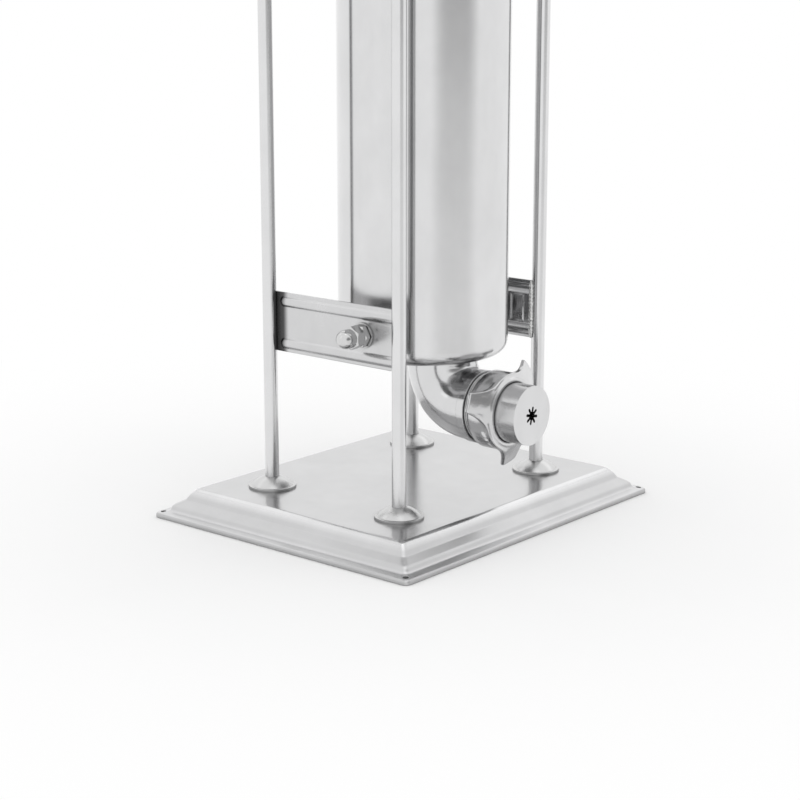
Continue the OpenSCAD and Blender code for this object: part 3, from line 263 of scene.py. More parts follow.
def relief(nt, height, normal, strength, depth):
    """The normal that a height gives a surface, on top of a normal that it already has."""
    bump = nt.nodes.new("ShaderNodeBump")
    for socket, value in (("Strength", strength), ("Distance", depth), ("Height", height)):
        feed(nt, bump.inputs[socket], value)
    if normal is not None:
        nt.links.new(normal, bump.inputs["Normal"])
    return bump.outputs[0]


def vec_noise(nt, vector, detail, rough):
    n = nt.nodes.new("ShaderNodeTexNoise")
    for socket, value in (("Vector", vector), ("Scale", 1.0), ("Detail", detail),
                          ("Roughness", rough)):
        feed(nt, n.inputs[socket], value)
    return n.outputs["Fac"]


def object_place(nt):
    """The X, Y and Z outputs of the object coordinates."""
    tc = nt.nodes.new("ShaderNodeTexCoord")
    sep = nt.nodes.new("ShaderNodeSeparateXYZ")
    nt.links.new(tc.outputs["Object"], sep.inputs[0])
    return sep.outputs


def stretched(nt, scale_xyz):
    """Object coordinates, scaled per axis so that noise runs as long grain."""
    tc = nt.nodes.new("ShaderNodeTexCoord")
    mp = nt.nodes.new("ShaderNodeMapping")
    mp.inputs["Scale"].default_value = scale_xyz
    nt.links.new(tc.outputs["Object"], mp.inputs["Vector"])
    return mp.outputs["Vector"]


def lathe_grain(nt, centre, axis, ring_scale):
    """Coordinates whose noise runs round an axis: distance, height and a little of the angle."""
    tc = nt.nodes.new("ShaderNodeTexCoord")
    sep = nt.nodes.new("ShaderNodeSeparateXYZ")
    nt.links.new(vector_math(nt, "SUBTRACT", tc.outputs["Object"], centre).outputs[0],
                 sep.inputs[0])
    along = sep.outputs[axis]
    p, q = [sep.outputs[i] for i in (X, Y, Z) if i != axis]
    r2 = math_node(nt, "ADD", math_node(nt, "MULTIPLY", p, p), math_node(nt, "MULTIPLY", q, q))
    r = math_node(nt, "SQRT", r2)
    angle = math_node(nt, "ARCTAN2", p, q)
    comb = nt.nodes.new("ShaderNodeCombineXYZ")
    for i, (part, scale) in enumerate(((r, ring_scale), (along, ring_scale),
                                       (angle, SPIN_SCALE))):
        nt.links.new(math_node(nt, "MULTIPLY", part, scale), comb.inputs[i])
    return comb.outputs[0]


def place_share(nt, axis, low, high, at_low, at_high, kind="SMOOTHSTEP"):
    """A value that runs from at_low to at_high between two places on an axis."""
    return map_range(nt, object_place(nt)[axis], low, high, at_low, at_high, kind)


def place_ramp(nt, axis, low, high, stops):
    """A value that follows (place, value) stops along an axis; the values stay under RAMP_TOP."""
    ramp = nt.nodes.new("ShaderNodeValToRGB")
    ramp.color_ramp.interpolation = "EASE"
    points = ramp.color_ramp.elements
    while len(points) < len(stops):
        points.new(0.5)
    for point, (place, value) in zip(points, stops):
        point.position = (place - low) / (high - low)
        share = value / RAMP_TOP
        point.color = (share, share, share, 1)
    nt.links.new(place_share(nt, axis, low, high, 0.0, 1.0, kind="LINEAR"), ramp.inputs["Fac"])
    return math_node(nt, "MULTIPLY", ramp.outputs["Color"], RAMP_TOP)


# Steel: scales in cells to the metre, noises as (detail, roughness), depths in metres

BLOTCH_SCALE = (28.0, 28.0, 20.0)
SCRATCH_SCALE = (160.0, 900.0, 260.0)
PIT_SCALE = (420.0, 420.0, 420.0)
GRAIN_NOISE, BLOTCH_NOISE, SCRATCH_NOISE = (3.0, 0.7), (5.0, 0.6), (2.0, 0.5)
PIT_NOISE = (4.0, 0.55)
SCRATCH_SHARE = 0.4
ROUGH_LEAST, ROUGH_MOST = 0.03, 0.9
NOISE_LOW, NOISE_HIGH = 0.3, 0.7
STEEL_TONE_LOW, STEEL_TONE_HIGH = 0.955, 1.03
# Painted shade: how ambient occlusion darkens the steel's colour in creases and near other parts
CREASE_SHADE_FULL, CREASE_SHADE_NONE = 0.25, 0.85
CREASE_SHADE_SAMPLES, EDGE_SAMPLES = 6, 4
EDGE_WEAR, EDGE_TINT = 0.6, 1.12
GRAIN_DEPTH, PIT_DEPTH = 0.00008, 0.0004
BRUSH_TURN = 0.25


def steel_roughness(nt, grain_fac, blotch, rough, spread, smudge, mask_rough):
    """Roughness with grain, smudges from hands and fine scratches."""
    scratch = vec_noise(nt, stretched(nt, SCRATCH_SCALE), *SCRATCH_NOISE)
    worked = math_node(nt, "ADD", centred(nt, grain_fac, spread), centred(nt, blotch, smudge * 2))
    scratched = math_node(nt, "ADD", centred(nt, scratch, spread * SCRATCH_SHARE), rough)
    total = math_node(nt, "ADD", worked, scratched)
    if mask_rough is not None:
        total = math_node(nt, "ADD", total, mask_rough)
    return clamp(nt, total, ROUGH_LEAST, ROUGH_MOST)


def steel_colour(nt, colour, blotch, rounded, crease_shade, reach, mask_tone):
    """An uneven tone, painted shade in the creases and slightly brighter worn edges."""
    tone = map_range(nt, blotch, NOISE_LOW, NOISE_HIGH, STEEL_TONE_LOW, STEEL_TONE_HIGH,
                     kind="LINEAR")
    # Painted shade: the colour is darkened where ambient occlusion finds creases and nearby parts
    occlusion = nt.nodes.new("ShaderNodeAmbientOcclusion")
    occlusion.samples = CREASE_SHADE_SAMPLES
    occlusion.inputs["Distance"].default_value = reach
    painted_crease_shade = map_range(nt, occlusion.outputs["AO"], CREASE_SHADE_FULL, CREASE_SHADE_NONE, 1.0 - crease_shade, 1.0,
                      kind="LINEAR")
    shade = math_node(nt, "MULTIPLY", tone, painted_crease_shade)
    if mask_tone is not None:
        shade = math_node(nt, "MULTIPLY", shade, mask_tone)
    body = vector_math(nt, "SCALE", colour)
    nt.links.new(shade, body.inputs["Scale"])
    geo = nt.nodes.new("ShaderNodeNewGeometry")
    alike = vector_math(nt, "DOT_PRODUCT", rounded, geo.outputs["Normal"]).outputs["Value"]
    worn = math_node(nt, "MULTIPLY", math_node(nt, "SUBTRACT", 1.0, alike), EDGE_WEAR)
    mix = nt.nodes.new("ShaderNodeMix")
    mix.data_type = "RGBA"
    nt.links.new(clamp(nt, worn), mix.inputs["Factor"])
    nt.links.new(body.outputs[0], mix.inputs[MIX_COLOUR_A])
    mix.inputs[MIX_COLOUR_B].default_value = (*[min(1, c * EDGE_TINT) for c in colour], 1)
    return mix.outputs[MIX_COLOUR_OUT]


def brush_round(nt, bsdf, aniso, around):
    """Polished round an axis, which smears the reflections along it."""
    turned = nt.nodes.new("ShaderNodeTangent")
    turned.direction_type = "RADIAL"
    turned.axis = around
    nt.links.new(turned.outputs["Tangent"], bsdf.inputs["Tangent"])
    bsdf.inputs["Anisotropic"].default_value = aniso
    bsdf.inputs["Anisotropic Rotation"].default_value = BRUSH_TURN


def metal(name, colour, rough, grain=None, lathe=None, grain_bump=0.10, spread=0.10,
          smudge=0.05, edge=0.0004, pit=0.0, aniso=0.0, around="Z", crease_shade=0.35, reach=0.005,
          mask=None):
    """Steel or bronze with grain, uneven polish, smudges, painted shade in creases and worn edges.

    The grain is straight, with a scale per axis, or turned on a lathe. A mask may change the
    roughness or the tone by place.
    """
    mat, nt, bsdf = node_tree(name)
    bsdf.inputs["Metallic"].default_value = 1.0
    grain_vec = lathe_grain(nt, *lathe) if lathe else stretched(nt, grain)
    grain_fac = vec_noise(nt, grain_vec, *GRAIN_NOISE)
    blotch = vec_noise(nt, stretched(nt, BLOTCH_SCALE), *BLOTCH_NOISE)
    mask_rough, mask_tone = mask(nt) if mask else (None, None)
    nt.links.new(steel_roughness(nt, grain_fac, blotch, rough, spread, smudge, mask_rough),
                 bsdf.inputs["Roughness"])
    bevel = nt.nodes.new("ShaderNodeBevel")
    bevel.samples = EDGE_SAMPLES
    bevel.inputs["Radius"].default_value = edge
    rounded = bevel.outputs["Normal"]
    nt.links.new(steel_colour(nt, colour, blotch, rounded, crease_shade, reach, mask_tone),
                 bsdf.inputs["Base Color"])
    normal = relief(nt, grain_fac, rounded, grain_bump, GRAIN_DEPTH)
    if pit > 0:
        cast = vec_noise(nt, stretched(nt, PIT_SCALE), *PIT_NOISE)
        normal = relief(nt, cast, normal, pit, PIT_DEPTH)
    nt.links.new(normal, bsdf.inputs["Normal"])
    if aniso:
        brush_round(nt, bsdf, aniso, around)
    return mat


# Plastic and rubber

PATCH_SCALE = (60.0, 60.0, 60.0)
SKIN_NOISE = (4.0, 0.6)
SKIN_SPREAD = 0.12
SKIN_DEPTH = 0.0003
SOFT_TONE_LOW, SOFT_TONE_HIGH = 0.9, 1.06


def soft_material(name, colour, rough, bump_strength, scale):
    """Plastic or rubber with a fine skin, faint dirt in the skin and uneven sheen."""
    mat, nt, bsdf = node_tree(name)
    skin = vec_noise(nt, stretched(nt, (scale, scale, scale)), *SKIN_NOISE)
    patch = vec_noise(nt, stretched(nt, PATCH_SCALE), *SKIN_NOISE)
    nt.links.new(math_node(nt, "ADD", centred(nt, skin, SKIN_SPREAD), rough),
                 bsdf.inputs["Roughness"])
    body = vector_math(nt, "SCALE", colour)
    nt.links.new(map_range(nt, patch, NOISE_LOW, NOISE_HIGH, SOFT_TONE_LOW, SOFT_TONE_HIGH,
                           kind="LINEAR"), body.inputs["Scale"])
    nt.links.new(body.outputs[0], bsdf.inputs["Base Color"])
    nt.links.new(relief(nt, skin, None, bump_strength, SKIN_DEPTH), bsdf.inputs["Normal"])
    return mat


# Finishes, painted light and painted shade that change by place: heights and places in metres, each
# with its tone

PAN_RAMP_TOP = 0.025
# Painted light and shade: the pan's colour by height, brighter on the rim and the slopes' edges,
# darker at the foot and on the steps
PAN_PAINTED_BANDS = [(0.0, 0.74), (0.0036, 0.80), (0.0044, 1.03), (0.0058, 0.98), (0.0080, 0.89),
              (0.0125, 0.89), (0.0175, 0.90), (0.0195, 0.96), (0.0215, 1.03), (0.0238, 1.03),
              (0.0243, 0.97), (0.0245, 0.945)]
SLOPE_DULL_FROM, SLOPE_DULL_TO, SLOPE_DULL = 0.0195, 0.0243, 0.16
MITRE_CORE, MITRE_REACH = 0.0002, 0.0034
# The first number smooths the mitred edges; the second brightens their colour as a painted highlight
MITRE_POLISH, MITRE_HIGHLIGHT = 0.04, 0.20
MITRE_FADE_FROM, MITRE_FADE_TO = 0.0225, 0.0243
# Painted shade and reflection of the posts at the rails' rear ends: where it starts, where it is
# full, and its tone
END_SHADE_FROM, END_SHADE_TO, END_SHADE_TONE = 0.0518, 0.0590, 0.12


def mitre_share(nt):
    """1 along the pan's four mitred edges, from the rim to the flat top, and 0 beside them."""
    place = object_place(nt)
    across = math_node(nt, "SUBTRACT", math_node(nt, "ABSOLUTE", place[X]),
                       math_node(nt, "ABSOLUTE", place[Y]))
    off = math_node(nt, "ABSOLUTE", math_node(nt, "SUBTRACT", across, (BASE_W - BASE_D) / 2))
    band = map_range(nt, off, MITRE_CORE, MITRE_REACH, 1.0, 0.0)
    return math_node(nt, "MULTIPLY", band,
                     place_share(nt, Z, MITRE_FADE_FROM, MITRE_FADE_TO, 1.0, 0.0))


def pan_mask(nt):
    """The slopes were brushed along after pressing and are duller on the steps; painted light and
    shade by height make them brighter on the edges and darker between.

    The mitred edges were polished by themselves, so they are smoother, and their colour is
    brightened as a painted highlight.
    """
    mitre = mitre_share(nt)
    rough = math_node(nt, "SUBTRACT",
                      place_share(nt, Z, SLOPE_DULL_FROM, SLOPE_DULL_TO, SLOPE_DULL, 0.0),
                      math_node(nt, "MULTIPLY", mitre, MITRE_POLISH))
    # Painted highlight: the colour is brightened along the mitred edges
    mitre_highlight = math_node(nt, "ADD", math_node(nt, "MULTIPLY", mitre, MITRE_HIGHLIGHT), 1.0)
    return rough, math_node(nt, "MULTIPLY", place_ramp(nt, Z, 0.0, PAN_RAMP_TOP, PAN_PAINTED_BANDS),
                            mitre_highlight)


def rail_end_shade_mask(nt):
    """The rails' rear ends, next to the posts, are darkened as a painted shade and reflection of the
    posts.
    """
    return None, place_share(nt, Y, END_SHADE_FROM, END_SHADE_TO, 1.0, END_SHADE_TONE)


# Materials, one for each slot of the record

NOZZLE_LATHE = ((0.0, 0.0, OUTLET_Z), Y, 2400.0)
PISTON_LATHE = ((0.0, CYL_Y, 0.0), Z, 1500.0)
MATERIALS = {
    "pan_steel": metal("pan_steel", (0.675, 0.675, 0.68), 0.20, grain=(60.0, 1400.0, 1400.0),
                       grain_bump=0.06, spread=0.06, smudge=0.015, edge=0.0006,
                       mask=pan_mask),
    "post_steel": metal("post_steel", (0.74, 0.74, 0.745), 0.15, grain=(900.0, 900.0, 12.0),
                        grain_bump=0.06, spread=0.05, smudge=0.015, aniso=0.97),
    "flange_steel": metal("flange_steel", (0.66, 0.66, 0.66), 0.30, grain=(300.0, 300.0, 900.0),
                          aniso=0.4, crease_shade=0.5),
    "rail_steel": metal("rail_steel", (0.645, 0.645, 0.65), 0.25, grain=(1200.0, 30.0, 1200.0),
                        grain_bump=0.12, crease_shade=0.55, reach=0.004, mask=rail_end_shade_mask),
    "weld_steel": metal("weld_steel", (0.78, 0.78, 0.775), 0.34, grain=(700.0, 700.0, 700.0),
                        grain_bump=0.5, spread=0.25, pit=0.6),
    "cylinder_steel": metal("cylinder_steel", (0.71, 0.71, 0.715), 0.17,
                            grain=(700.0, 700.0, 8.0), grain_bump=0.03, spread=0.04,
                            smudge=0.012, edge=0.0005, aniso=0.95),
    "cast_steel": metal("cast_steel", (0.69, 0.69, 0.695), 0.15, grain=(260.0, 260.0, 260.0),
                        grain_bump=0.08, spread=0.08, smudge=0.04, edge=0.001, pit=0.10),
    "turned_steel": metal("turned_steel", (0.70, 0.70, 0.705), 0.22, lathe=NOZZLE_LATHE,
                          grain_bump=0.14, spread=0.16, smudge=0.03, edge=0.00015, aniso=0.8,
                          around="Y"),
    "fastener_steel": metal("fastener_steel", (0.66, 0.66, 0.66), 0.12, crease_shade=0.6,
                            grain=(700.0, 700.0, 700.0), grain_bump=0.08, spread=0.08),
    "head_steel": metal("head_steel", (0.70, 0.70, 0.705), 0.24, grain=(40.0, 1200.0, 1200.0),
                        grain_bump=0.12, spread=0.12),
    "cover_steel": metal("cover_steel", (0.70, 0.70, 0.705), 0.24, grain=(40.0, 40.0, 1400.0),
                         grain_bump=0.14, spread=0.12, edge=0.0008),
    "shaft_steel": metal("shaft_steel", (0.66, 0.66, 0.665), 0.18, grain=(1200.0, 200.0, 200.0)),
    "gear_steel": metal("gear_steel", (0.55, 0.55, 0.56), 0.28, grain=(900.0, 120.0, 120.0),
                        grain_bump=0.14, spread=0.14, smudge=0.08),
    "ring_steel": metal("ring_steel", (0.42, 0.42, 0.43), 0.30, grain=(500.0, 500.0, 500.0)),
    "crank_steel": metal("crank_steel", (0.70, 0.70, 0.705), 0.22, grain=(1200.0, 30.0, 1200.0),
                         grain_bump=0.12, edge=0.0008),
    "bush_bronze": metal("bush_bronze", (0.72, 0.50, 0.26), 0.26, grain=(900.0, 200.0, 200.0)),
    "piston_steel": metal("piston_steel", (0.70, 0.70, 0.705), 0.20, lathe=PISTON_LATHE,
                          grain_bump=0.12, spread=0.14),
    "guide_plastic": soft_material("guide_plastic", (0.84, 0.84, 0.81), 0.42, 0.15, 700.0),
    "seal_rubber": soft_material("seal_rubber", (0.74, 0.73, 0.70), 0.55, 0.2, 900.0),
    "grip_plastic": soft_material("grip_plastic", (0.028, 0.028, 0.030), 0.42, 0.35, 1500.0),
}

for row in frame["record"]["subparts"]:
    obj = NODES[row["node"]]
    obj.data.materials.clear()
    obj.data.materials.append(MATERIALS[row["material_slot"]])


def dress(obj, slot, body, *stands_for):
    """Gives a new piece its material and the body it rides on, and hides the nodes it stands for."""
    obj.data.materials.clear()
    obj.data.materials.append(MATERIALS[slot])
    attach(obj, body)
    if stands_for:
        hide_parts(*stands_for)
    return obj


# Base pan: pressed sheet with soft steps

PAN_FLAT_EDGE = 0.006
PAN_BEND_R, PAN_BEND_STEPS = 0.004, 6
HOLE_SIDES = 48
PAN_SHARP_DEGREES = 50
CUT_BELOW, CUT_ABOVE = -0.01, 0.02


def pan_profile():
    """The sheet's outside from its foot to the flat top, as (way in from the rim, height)."""
    rise = BASE_H - PAN_LIP_H
    pts = [(0, 0)] + [(s * PAN_SLOPE_W, PAN_LIP_H + h * rise) for s, h in PAN_SHARES]
    pts.append((PAN_SLOPE_W + PAN_FLAT_EDGE, BASE_H))
    return [(v[0], v[1]) for v in fillet(pts, PAN_BEND_R, PAN_BEND_STEPS)]


def pan_inside(outer):
    """The sheet's inside, a sheet's thickness under the outside."""
    inner = []
    for i, (run, z) in enumerate(outer):
        a = Vector(outer[max(0, i - 1)])
        b = Vector(outer[min(len(outer) - 1, i + 1)])
        d = (b - a).normalized()
        n = Vector((d.y, -d.x))
        inner.append((run + n.x * PAN_T, max(0.0, z + n.y * PAN_T)))
    inner[0] = (PAN_T, 0.0)
    return inner


def pan_rows(profile, corner_r):
    return [rounded_rect(BASE_W / 2 - run, BASE_D / 2 - run, corner_r, z) for run, z in profile]


def hole_cutter(x, y):
    """A round bar through the rim at a fixing hole."""
    ring = []
    for i in range(HOLE_SIDES):
        a = 2 * math.pi * i / HOLE_SIDES
        ring.append(Vector((x, y, 0)) + Vector((FIX_R * math.cos(a), FIX_R * math.sin(a), 0)))
    verts, faces = loft([[p + Vector((0, 0, z)) for p in ring] for z in (CUT_BELOW, CUT_ABOVE)])
    faces.append(tuple(range(HOLE_SIDES)))
    faces.append(tuple(range(HOLE_SIDES, 2 * HOLE_SIDES)))
    return make_object("cutter", verts, faces)


def cut_fixing_holes(pan):
    cutters = []
    for sx in (-1, 1):
        for sy in (-1, 1):
            cutter = hole_cutter(sx * (BASE_W / 2 - FIX_INSET), sy * (BASE_D / 2 - FIX_INSET))
            cutters.append(cutter)
            m = pan.modifiers.new("hole", "BOOLEAN")
            m.operation = "DIFFERENCE"
            m.solver = "EXACT"
            m.object = cutter
    bpy.context.view_layer.update()
    apply_modifiers(pan)
    for cutter in cutters:
        bpy.data.objects.remove(cutter)


def build_pan():
    outer = pan_profile()
    inner_rows = pan_rows(pan_inside(outer), PAN_CORNER_R - PAN_T / 2)
    rows = list(reversed(inner_rows)) + pan_rows(outer, PAN_CORNER_R)
    verts, faces = loft(rows)
    n = len(rows[0])
    last = (len(rows) - 1) * n
    faces.append(tuple(range(n)))
    faces.append(tuple(range(last, last + n)))
    pan = make_object("pan_sheet", verts, faces)
    cut_fixing_holes(pan)
    for p in pan.data.polygons:
        p.use_smooth = True
    sharpen(pan, PAN_SHARP_DEGREES)
    return dress(pan, "pan_steel", "frame", "base_pan")


build_pan()


# Side rails: pressed sheet with two soft beads

RAIL_CELLS_Y, RAIL_CELLS_Z = 170, 120
RAIL_SHARP_DEGREES = 45
RAIL_EDGE_ROWS, RAIL_EDGE_DROP = 3.0, 0.0004
BEAD_END, BEAD_FRONT, BEAD_SOFT = 0.0155, 0.0080, 0.0008
BEAD_FOOT = math.sqrt(BEAD_R ** 2 - RAIL_T ** 2)
BEAD_FILLET_POWER = 1.9
RECESS_SIDE_Z, RECESS_SIDE_Y = 0.0024, 0.0028


def bead_height(y, z):
    """How far the bead stands out of the sheet: a round back with a small fillet at its foot."""
    best = 0.0
    for zc in (RAIL_Z + BEAD_INSET, RAIL_Z + RAIL_H - BEAD_INSET):
        dy = max(0.0, y - (POST_Y - BEAD_END), (BEAD_FRONT - POST_Y) - y)
        d = math.hypot(dy, z - zc)
        if d < BEAD_FOOT - BEAD_SOFT:
            best = max(best, math.sqrt(BEAD_R ** 2 - d * d) - RAIL_T)
        elif d < BEAD_FOOT + BEAD_SOFT:
            edge = math.sqrt(BEAD_R ** 2 - (BEAD_FOOT - BEAD_SOFT) ** 2) - RAIL_T
            share = (BEAD_FOOT + BEAD_SOFT - d) / (2 * BEAD_SOFT)
            best = max(best, edge * share ** BEAD_FILLET_POWER)
    return min(best, RAIL_T)


def recess_height(y, z):
    """How far the framed panel on the inner side is pressed out, with sloping sides."""
    half_h = RAIL_H / 2 - BEAD_INSET - BEAD_R
    room_z = half_h - abs(z - (RAIL_Z + RAIL_H / 2))
    room_y = min(POST_Y - RECESS_END - abs(y), abs(y - PIVOT_Y) - RECESS_LAND)
    inside = min(room_z / RECESS_SIDE_Z, room_y / RECESS_SIDE_Y)
    return RECESS * min(1.0, max(0.0, inside))


def rail_reach(x):
    """How far along Y a rail runs at a distance x from the middle, up to the posts' round."""
    return POST_Y - math.sqrt(POST_R ** 2 - (POST_X - x) ** 2)


def rail_loop(side, share):
    """The rail's outline at a share of its length, up the outside and down the inside."""
    y_out = share * rail_reach(RAIL_X + RAIL_T)
    y_in = share * rail_reach(RAIL_X)
    outside, inside = [], []
    for j in range(RAIL_CELLS_Z + 1):
        z = RAIL_Z + RAIL_H * j / RAIL_CELLS_Z
        edge = min(j, RAIL_CELLS_Z - j) / RAIL_EDGE_ROWS
        drop = RAIL_EDGE_DROP * max(0.0, 1 - edge) ** 2
        x_out = RAIL_X + RAIL_T + bead_height(y_out, z) - drop
        x_in = RAIL_X + max(bead_height(y_in, z), recess_height(y_in, z))
        outside.append(Vector((side * x_out, y_out, z)))
        inside.append(Vector((side * x_in, y_in, z)))
    return outside + inside[::-1]


def build_rail(side, name, node):
    loops = [rail_loop(side, -1 + 2 * i / RAIL_CELLS_Y) for i in range(RAIL_CELLS_Y + 1)]
    verts, faces = loft(loops)
    n = len(loops[0])
    for base in (0, RAIL_CELLS_Y * n):
        for j in range(RAIL_CELLS_Z):
            faces.append((base + j, base + j + 1, base + n - 2 - j, base + n - 1 - j))
    rail = make_object(name, verts, faces)
    sharpen(rail, RAIL_SHARP_DEGREES)
    return dress(rail, "rail_steel", "frame", node)


build_rail(-1, "rail_sheet_left", "rail_left")
build_rail(1, "rail_sheet_right", "rail_right")


# Rough fillet welds at the rail ends

WELD_R, WELD_SINK, WELD_END_GAP = 0.0025, 0.0012, 0.0003
WELD_STEPS, WELD_SIDES = 90, 18
WELD_RIPPLES = 17
WELD_CORE_SHARE, WELD_RIPPLE_SHARE, WELD_LUMP_SHARE, WELD_SKIN_SHARE = 0.78, 0.16, 0.22, 0.16
WELD_END_SHARE, WELD_TAPER = 0.45, 6
LUMP_SCALE, SKIN_ROUND, SKIN_SCALE = 26, 3, 40
LUMP_SEEDS, SKIN_SEEDS = (3.1, 5.7), (9, 4)


def weld_radius(t, sx, sy):
    """Radius of the weld at a share of its height, rippled, lumpy and thinner at its ends."""
    ripple = WELD_CORE_SHARE
    ripple += WELD_RIPPLE_SHARE * abs(math.sin(t * math.pi * WELD_RIPPLES + sx + sy))
    ripple += WELD_LUMP_SHARE * noise.noise(Vector((sx * LUMP_SEEDS[0], sy * LUMP_SEEDS[1],
                                                    t * LUMP_SCALE)))
    taper = min(1.0, WELD_TAPER * t + WELD_END_SHARE, WELD_TAPER * (1 - t) + WELD_END_SHARE)
    return WELD_R * ripple * taper


def weld_ring(t, sx, sy):
    """One ring of a weld, at a share of its height."""
    z = RAIL_Z + WELD_END_GAP + (RAIL_H - 2 * WELD_END_GAP) * t
    r = weld_radius(t, sx, sy)
    ring = []
    for k in range(WELD_SIDES):
        a = 2 * math.pi * k / WELD_SIDES
        seed = t * SKIN_SCALE + sx * SKIN_SEEDS[0] + sy * SKIN_SEEDS[1]
        skin = noise.noise(Vector((SKIN_ROUND * math.cos(a), SKIN_ROUND * math.sin(a), seed)))
        bumpy = 1 + WELD_SKIN_SHARE * skin
        x = RAIL_X - WELD_SINK + r * bumpy * math.cos(a)
        y = rail_reach(RAIL_X) + r * bumpy * math.sin(a)
        ring.append(Vector((sx * x, sy * y, z)))
    return ring


def build_welds():
    verts, faces = [], []
    for sx in (-1, 1):
        for sy in (-1, 1):
            base = len(verts)
            rings = [weld_ring(i / WELD_STEPS, sx, sy) for i in range(WELD_STEPS + 1)]
            ring_verts, ring_faces = loft(rings)
            verts += ring_verts
            faces += [tuple(base + i for i in face) for face in ring_faces]
            last = base + WELD_STEPS * WELD_SIDES
            faces.append(tuple(base + k for k in range(WELD_SIDES)))
            faces.append(tuple(last + k for k in range(WELD_SIDES)))
    welds = make_object("weld_beads", verts, faces)
    return dress(welds, "weld_steel", "frame", "rail_welds")


build_welds()


# Thread on the elbow's end

THREAD_FROM, THREAD_TO, THREAD_PITCH = -0.0872, -0.1045, 0.0018
THREAD_CREST, THREAD_CREST_IN_NUT = 0.0010, 0.00022
THREAD_COVER, THREAD_WIDTH_SHARE, THREAD_FADE = 0.0008, 0.92, 30
THREAD_STEPS_A_TURN = 96
THREAD_SECTION_SHARES = [(-0.5, 0.0), (-0.30, 0.55), (-0.14, 0.95), (0.0, 1.0), (0.14, 0.95),
                         (0.30, 0.55), (0.5, 0.0), (0.3, -0.4), (-0.3, -0.4)]


def build_thread():
    """A helical ridge that stands a little out of the elbow's end, lower where the nut hides it."""
    turns = (THREAD_FROM - THREAD_TO) / THREAD_PITCH
    steps = int(turns * THREAD_STEPS_A_TURN)
    loops = []
    for i in range(steps + 1):
        t = i / steps
        a = 2 * math.pi * turns * t
        y = THREAD_FROM + (THREAD_TO - THREAD_FROM) * t
        crest = THREAD_CREST_IN_NUT if y < NUT_BACK + THREAD_COVER else THREAD_CREST
        crest *= min(1.0, t * THREAD_FADE, (1 - t) * THREAD_FADE)
        loop = []
        for u, v in THREAD_SECTION_SHARES:
            r = THREAD_R + crest * v
            loop.append(Vector((r * math.cos(a), y + u * THREAD_PITCH * THREAD_WIDTH_SHARE,
                                OUTLET_Z + r * math.sin(a))))
        loops.append(loop)
    verts, faces = loft(loops)
    m = len(THREAD_SECTION_SHARES)
    faces.append(tuple(range(m)))
    faces.append(tuple(steps * m + k for k in range(m)))
    thread = make_object("elbow_thread", verts, faces)
    return dress(thread, "cast_steel", "frame")


build_thread()


# Winged nut: a soft edged casting

NUT_STEPS = 540
NUT_SHARP_DEGREES = 60
HALFWAYS = (0.33, 0.66)
QUARTERS = (0.25, 0.5, 0.75)
HUB_CHAMFER, HUB_CHAMFER_MID = 0.0012, 0.0003
ROOT_FILLET, ROOT_FILLET_SHARE, ROOT_FILLET_STEPS = 0.0022, 0.6, 5
WING_EDGE, WING_EDGE_SHARE = 0.0007, 0.3
FACE_EDGE, FACE_EDGE_MID = 0.0007, 0.0002
WING_CORNER_SPAN, WING_CORNER_SOFT = 0.05, 0.0009
LIP_R = (NUT_HUB_R + NOZZLE_R) / 2
LIP_FOOT, LIP_FOOT_MID, LIP_FOOT_DROP, LIP_FOOT_RISE = 0.0016, 0.0005, 0.0004, 0.001
LIP_EDGE, LIP_EDGE_MID, LIP_EDGE_DROP, LIP_EDGE_MID_DROP = 0.001, 0.0004, 0.0008, 0.0002
BORE_CHAMFER = 0.0006


def wing_radius(theta):
    """Outline radius of the nut at an angle, with hollows beside the wings."""
    mid = NUT_HUB_R + WING_HOLLOW_R
    lean = math.asin(WING_HALF_W / NUT_TIP_R)
    swing = lean + math.acos((mid ** 2 + NUT_TIP_R ** 2 - WING_HOLLOW_R ** 2)
                             / (2 * mid * NUT_TIP_R))
    best = NUT_HUB_R
    for w in WING_ANGLES:
        d = abs((theta - math.radians(w) + math.pi) % (2 * math.pi) - math.pi)
        if d >= swing:
            continue
        if d < lean:
            r = NUT_TIP_R * math.cos(lean) / math.cos(d)
        else:
            off = swing - d
            r = mid * math.cos(off) - math.sqrt(
                max(0.0, WING_HOLLOW_R ** 2 - (mid * math.sin(off)) ** 2))
        corner = 1 - min(1.0, abs(d - lean) / WING_CORNER_SPAN)
        best = max(best, min(r, NUT_TIP_R) - WING_CORNER_SOFT * corner ** 2)
    return best


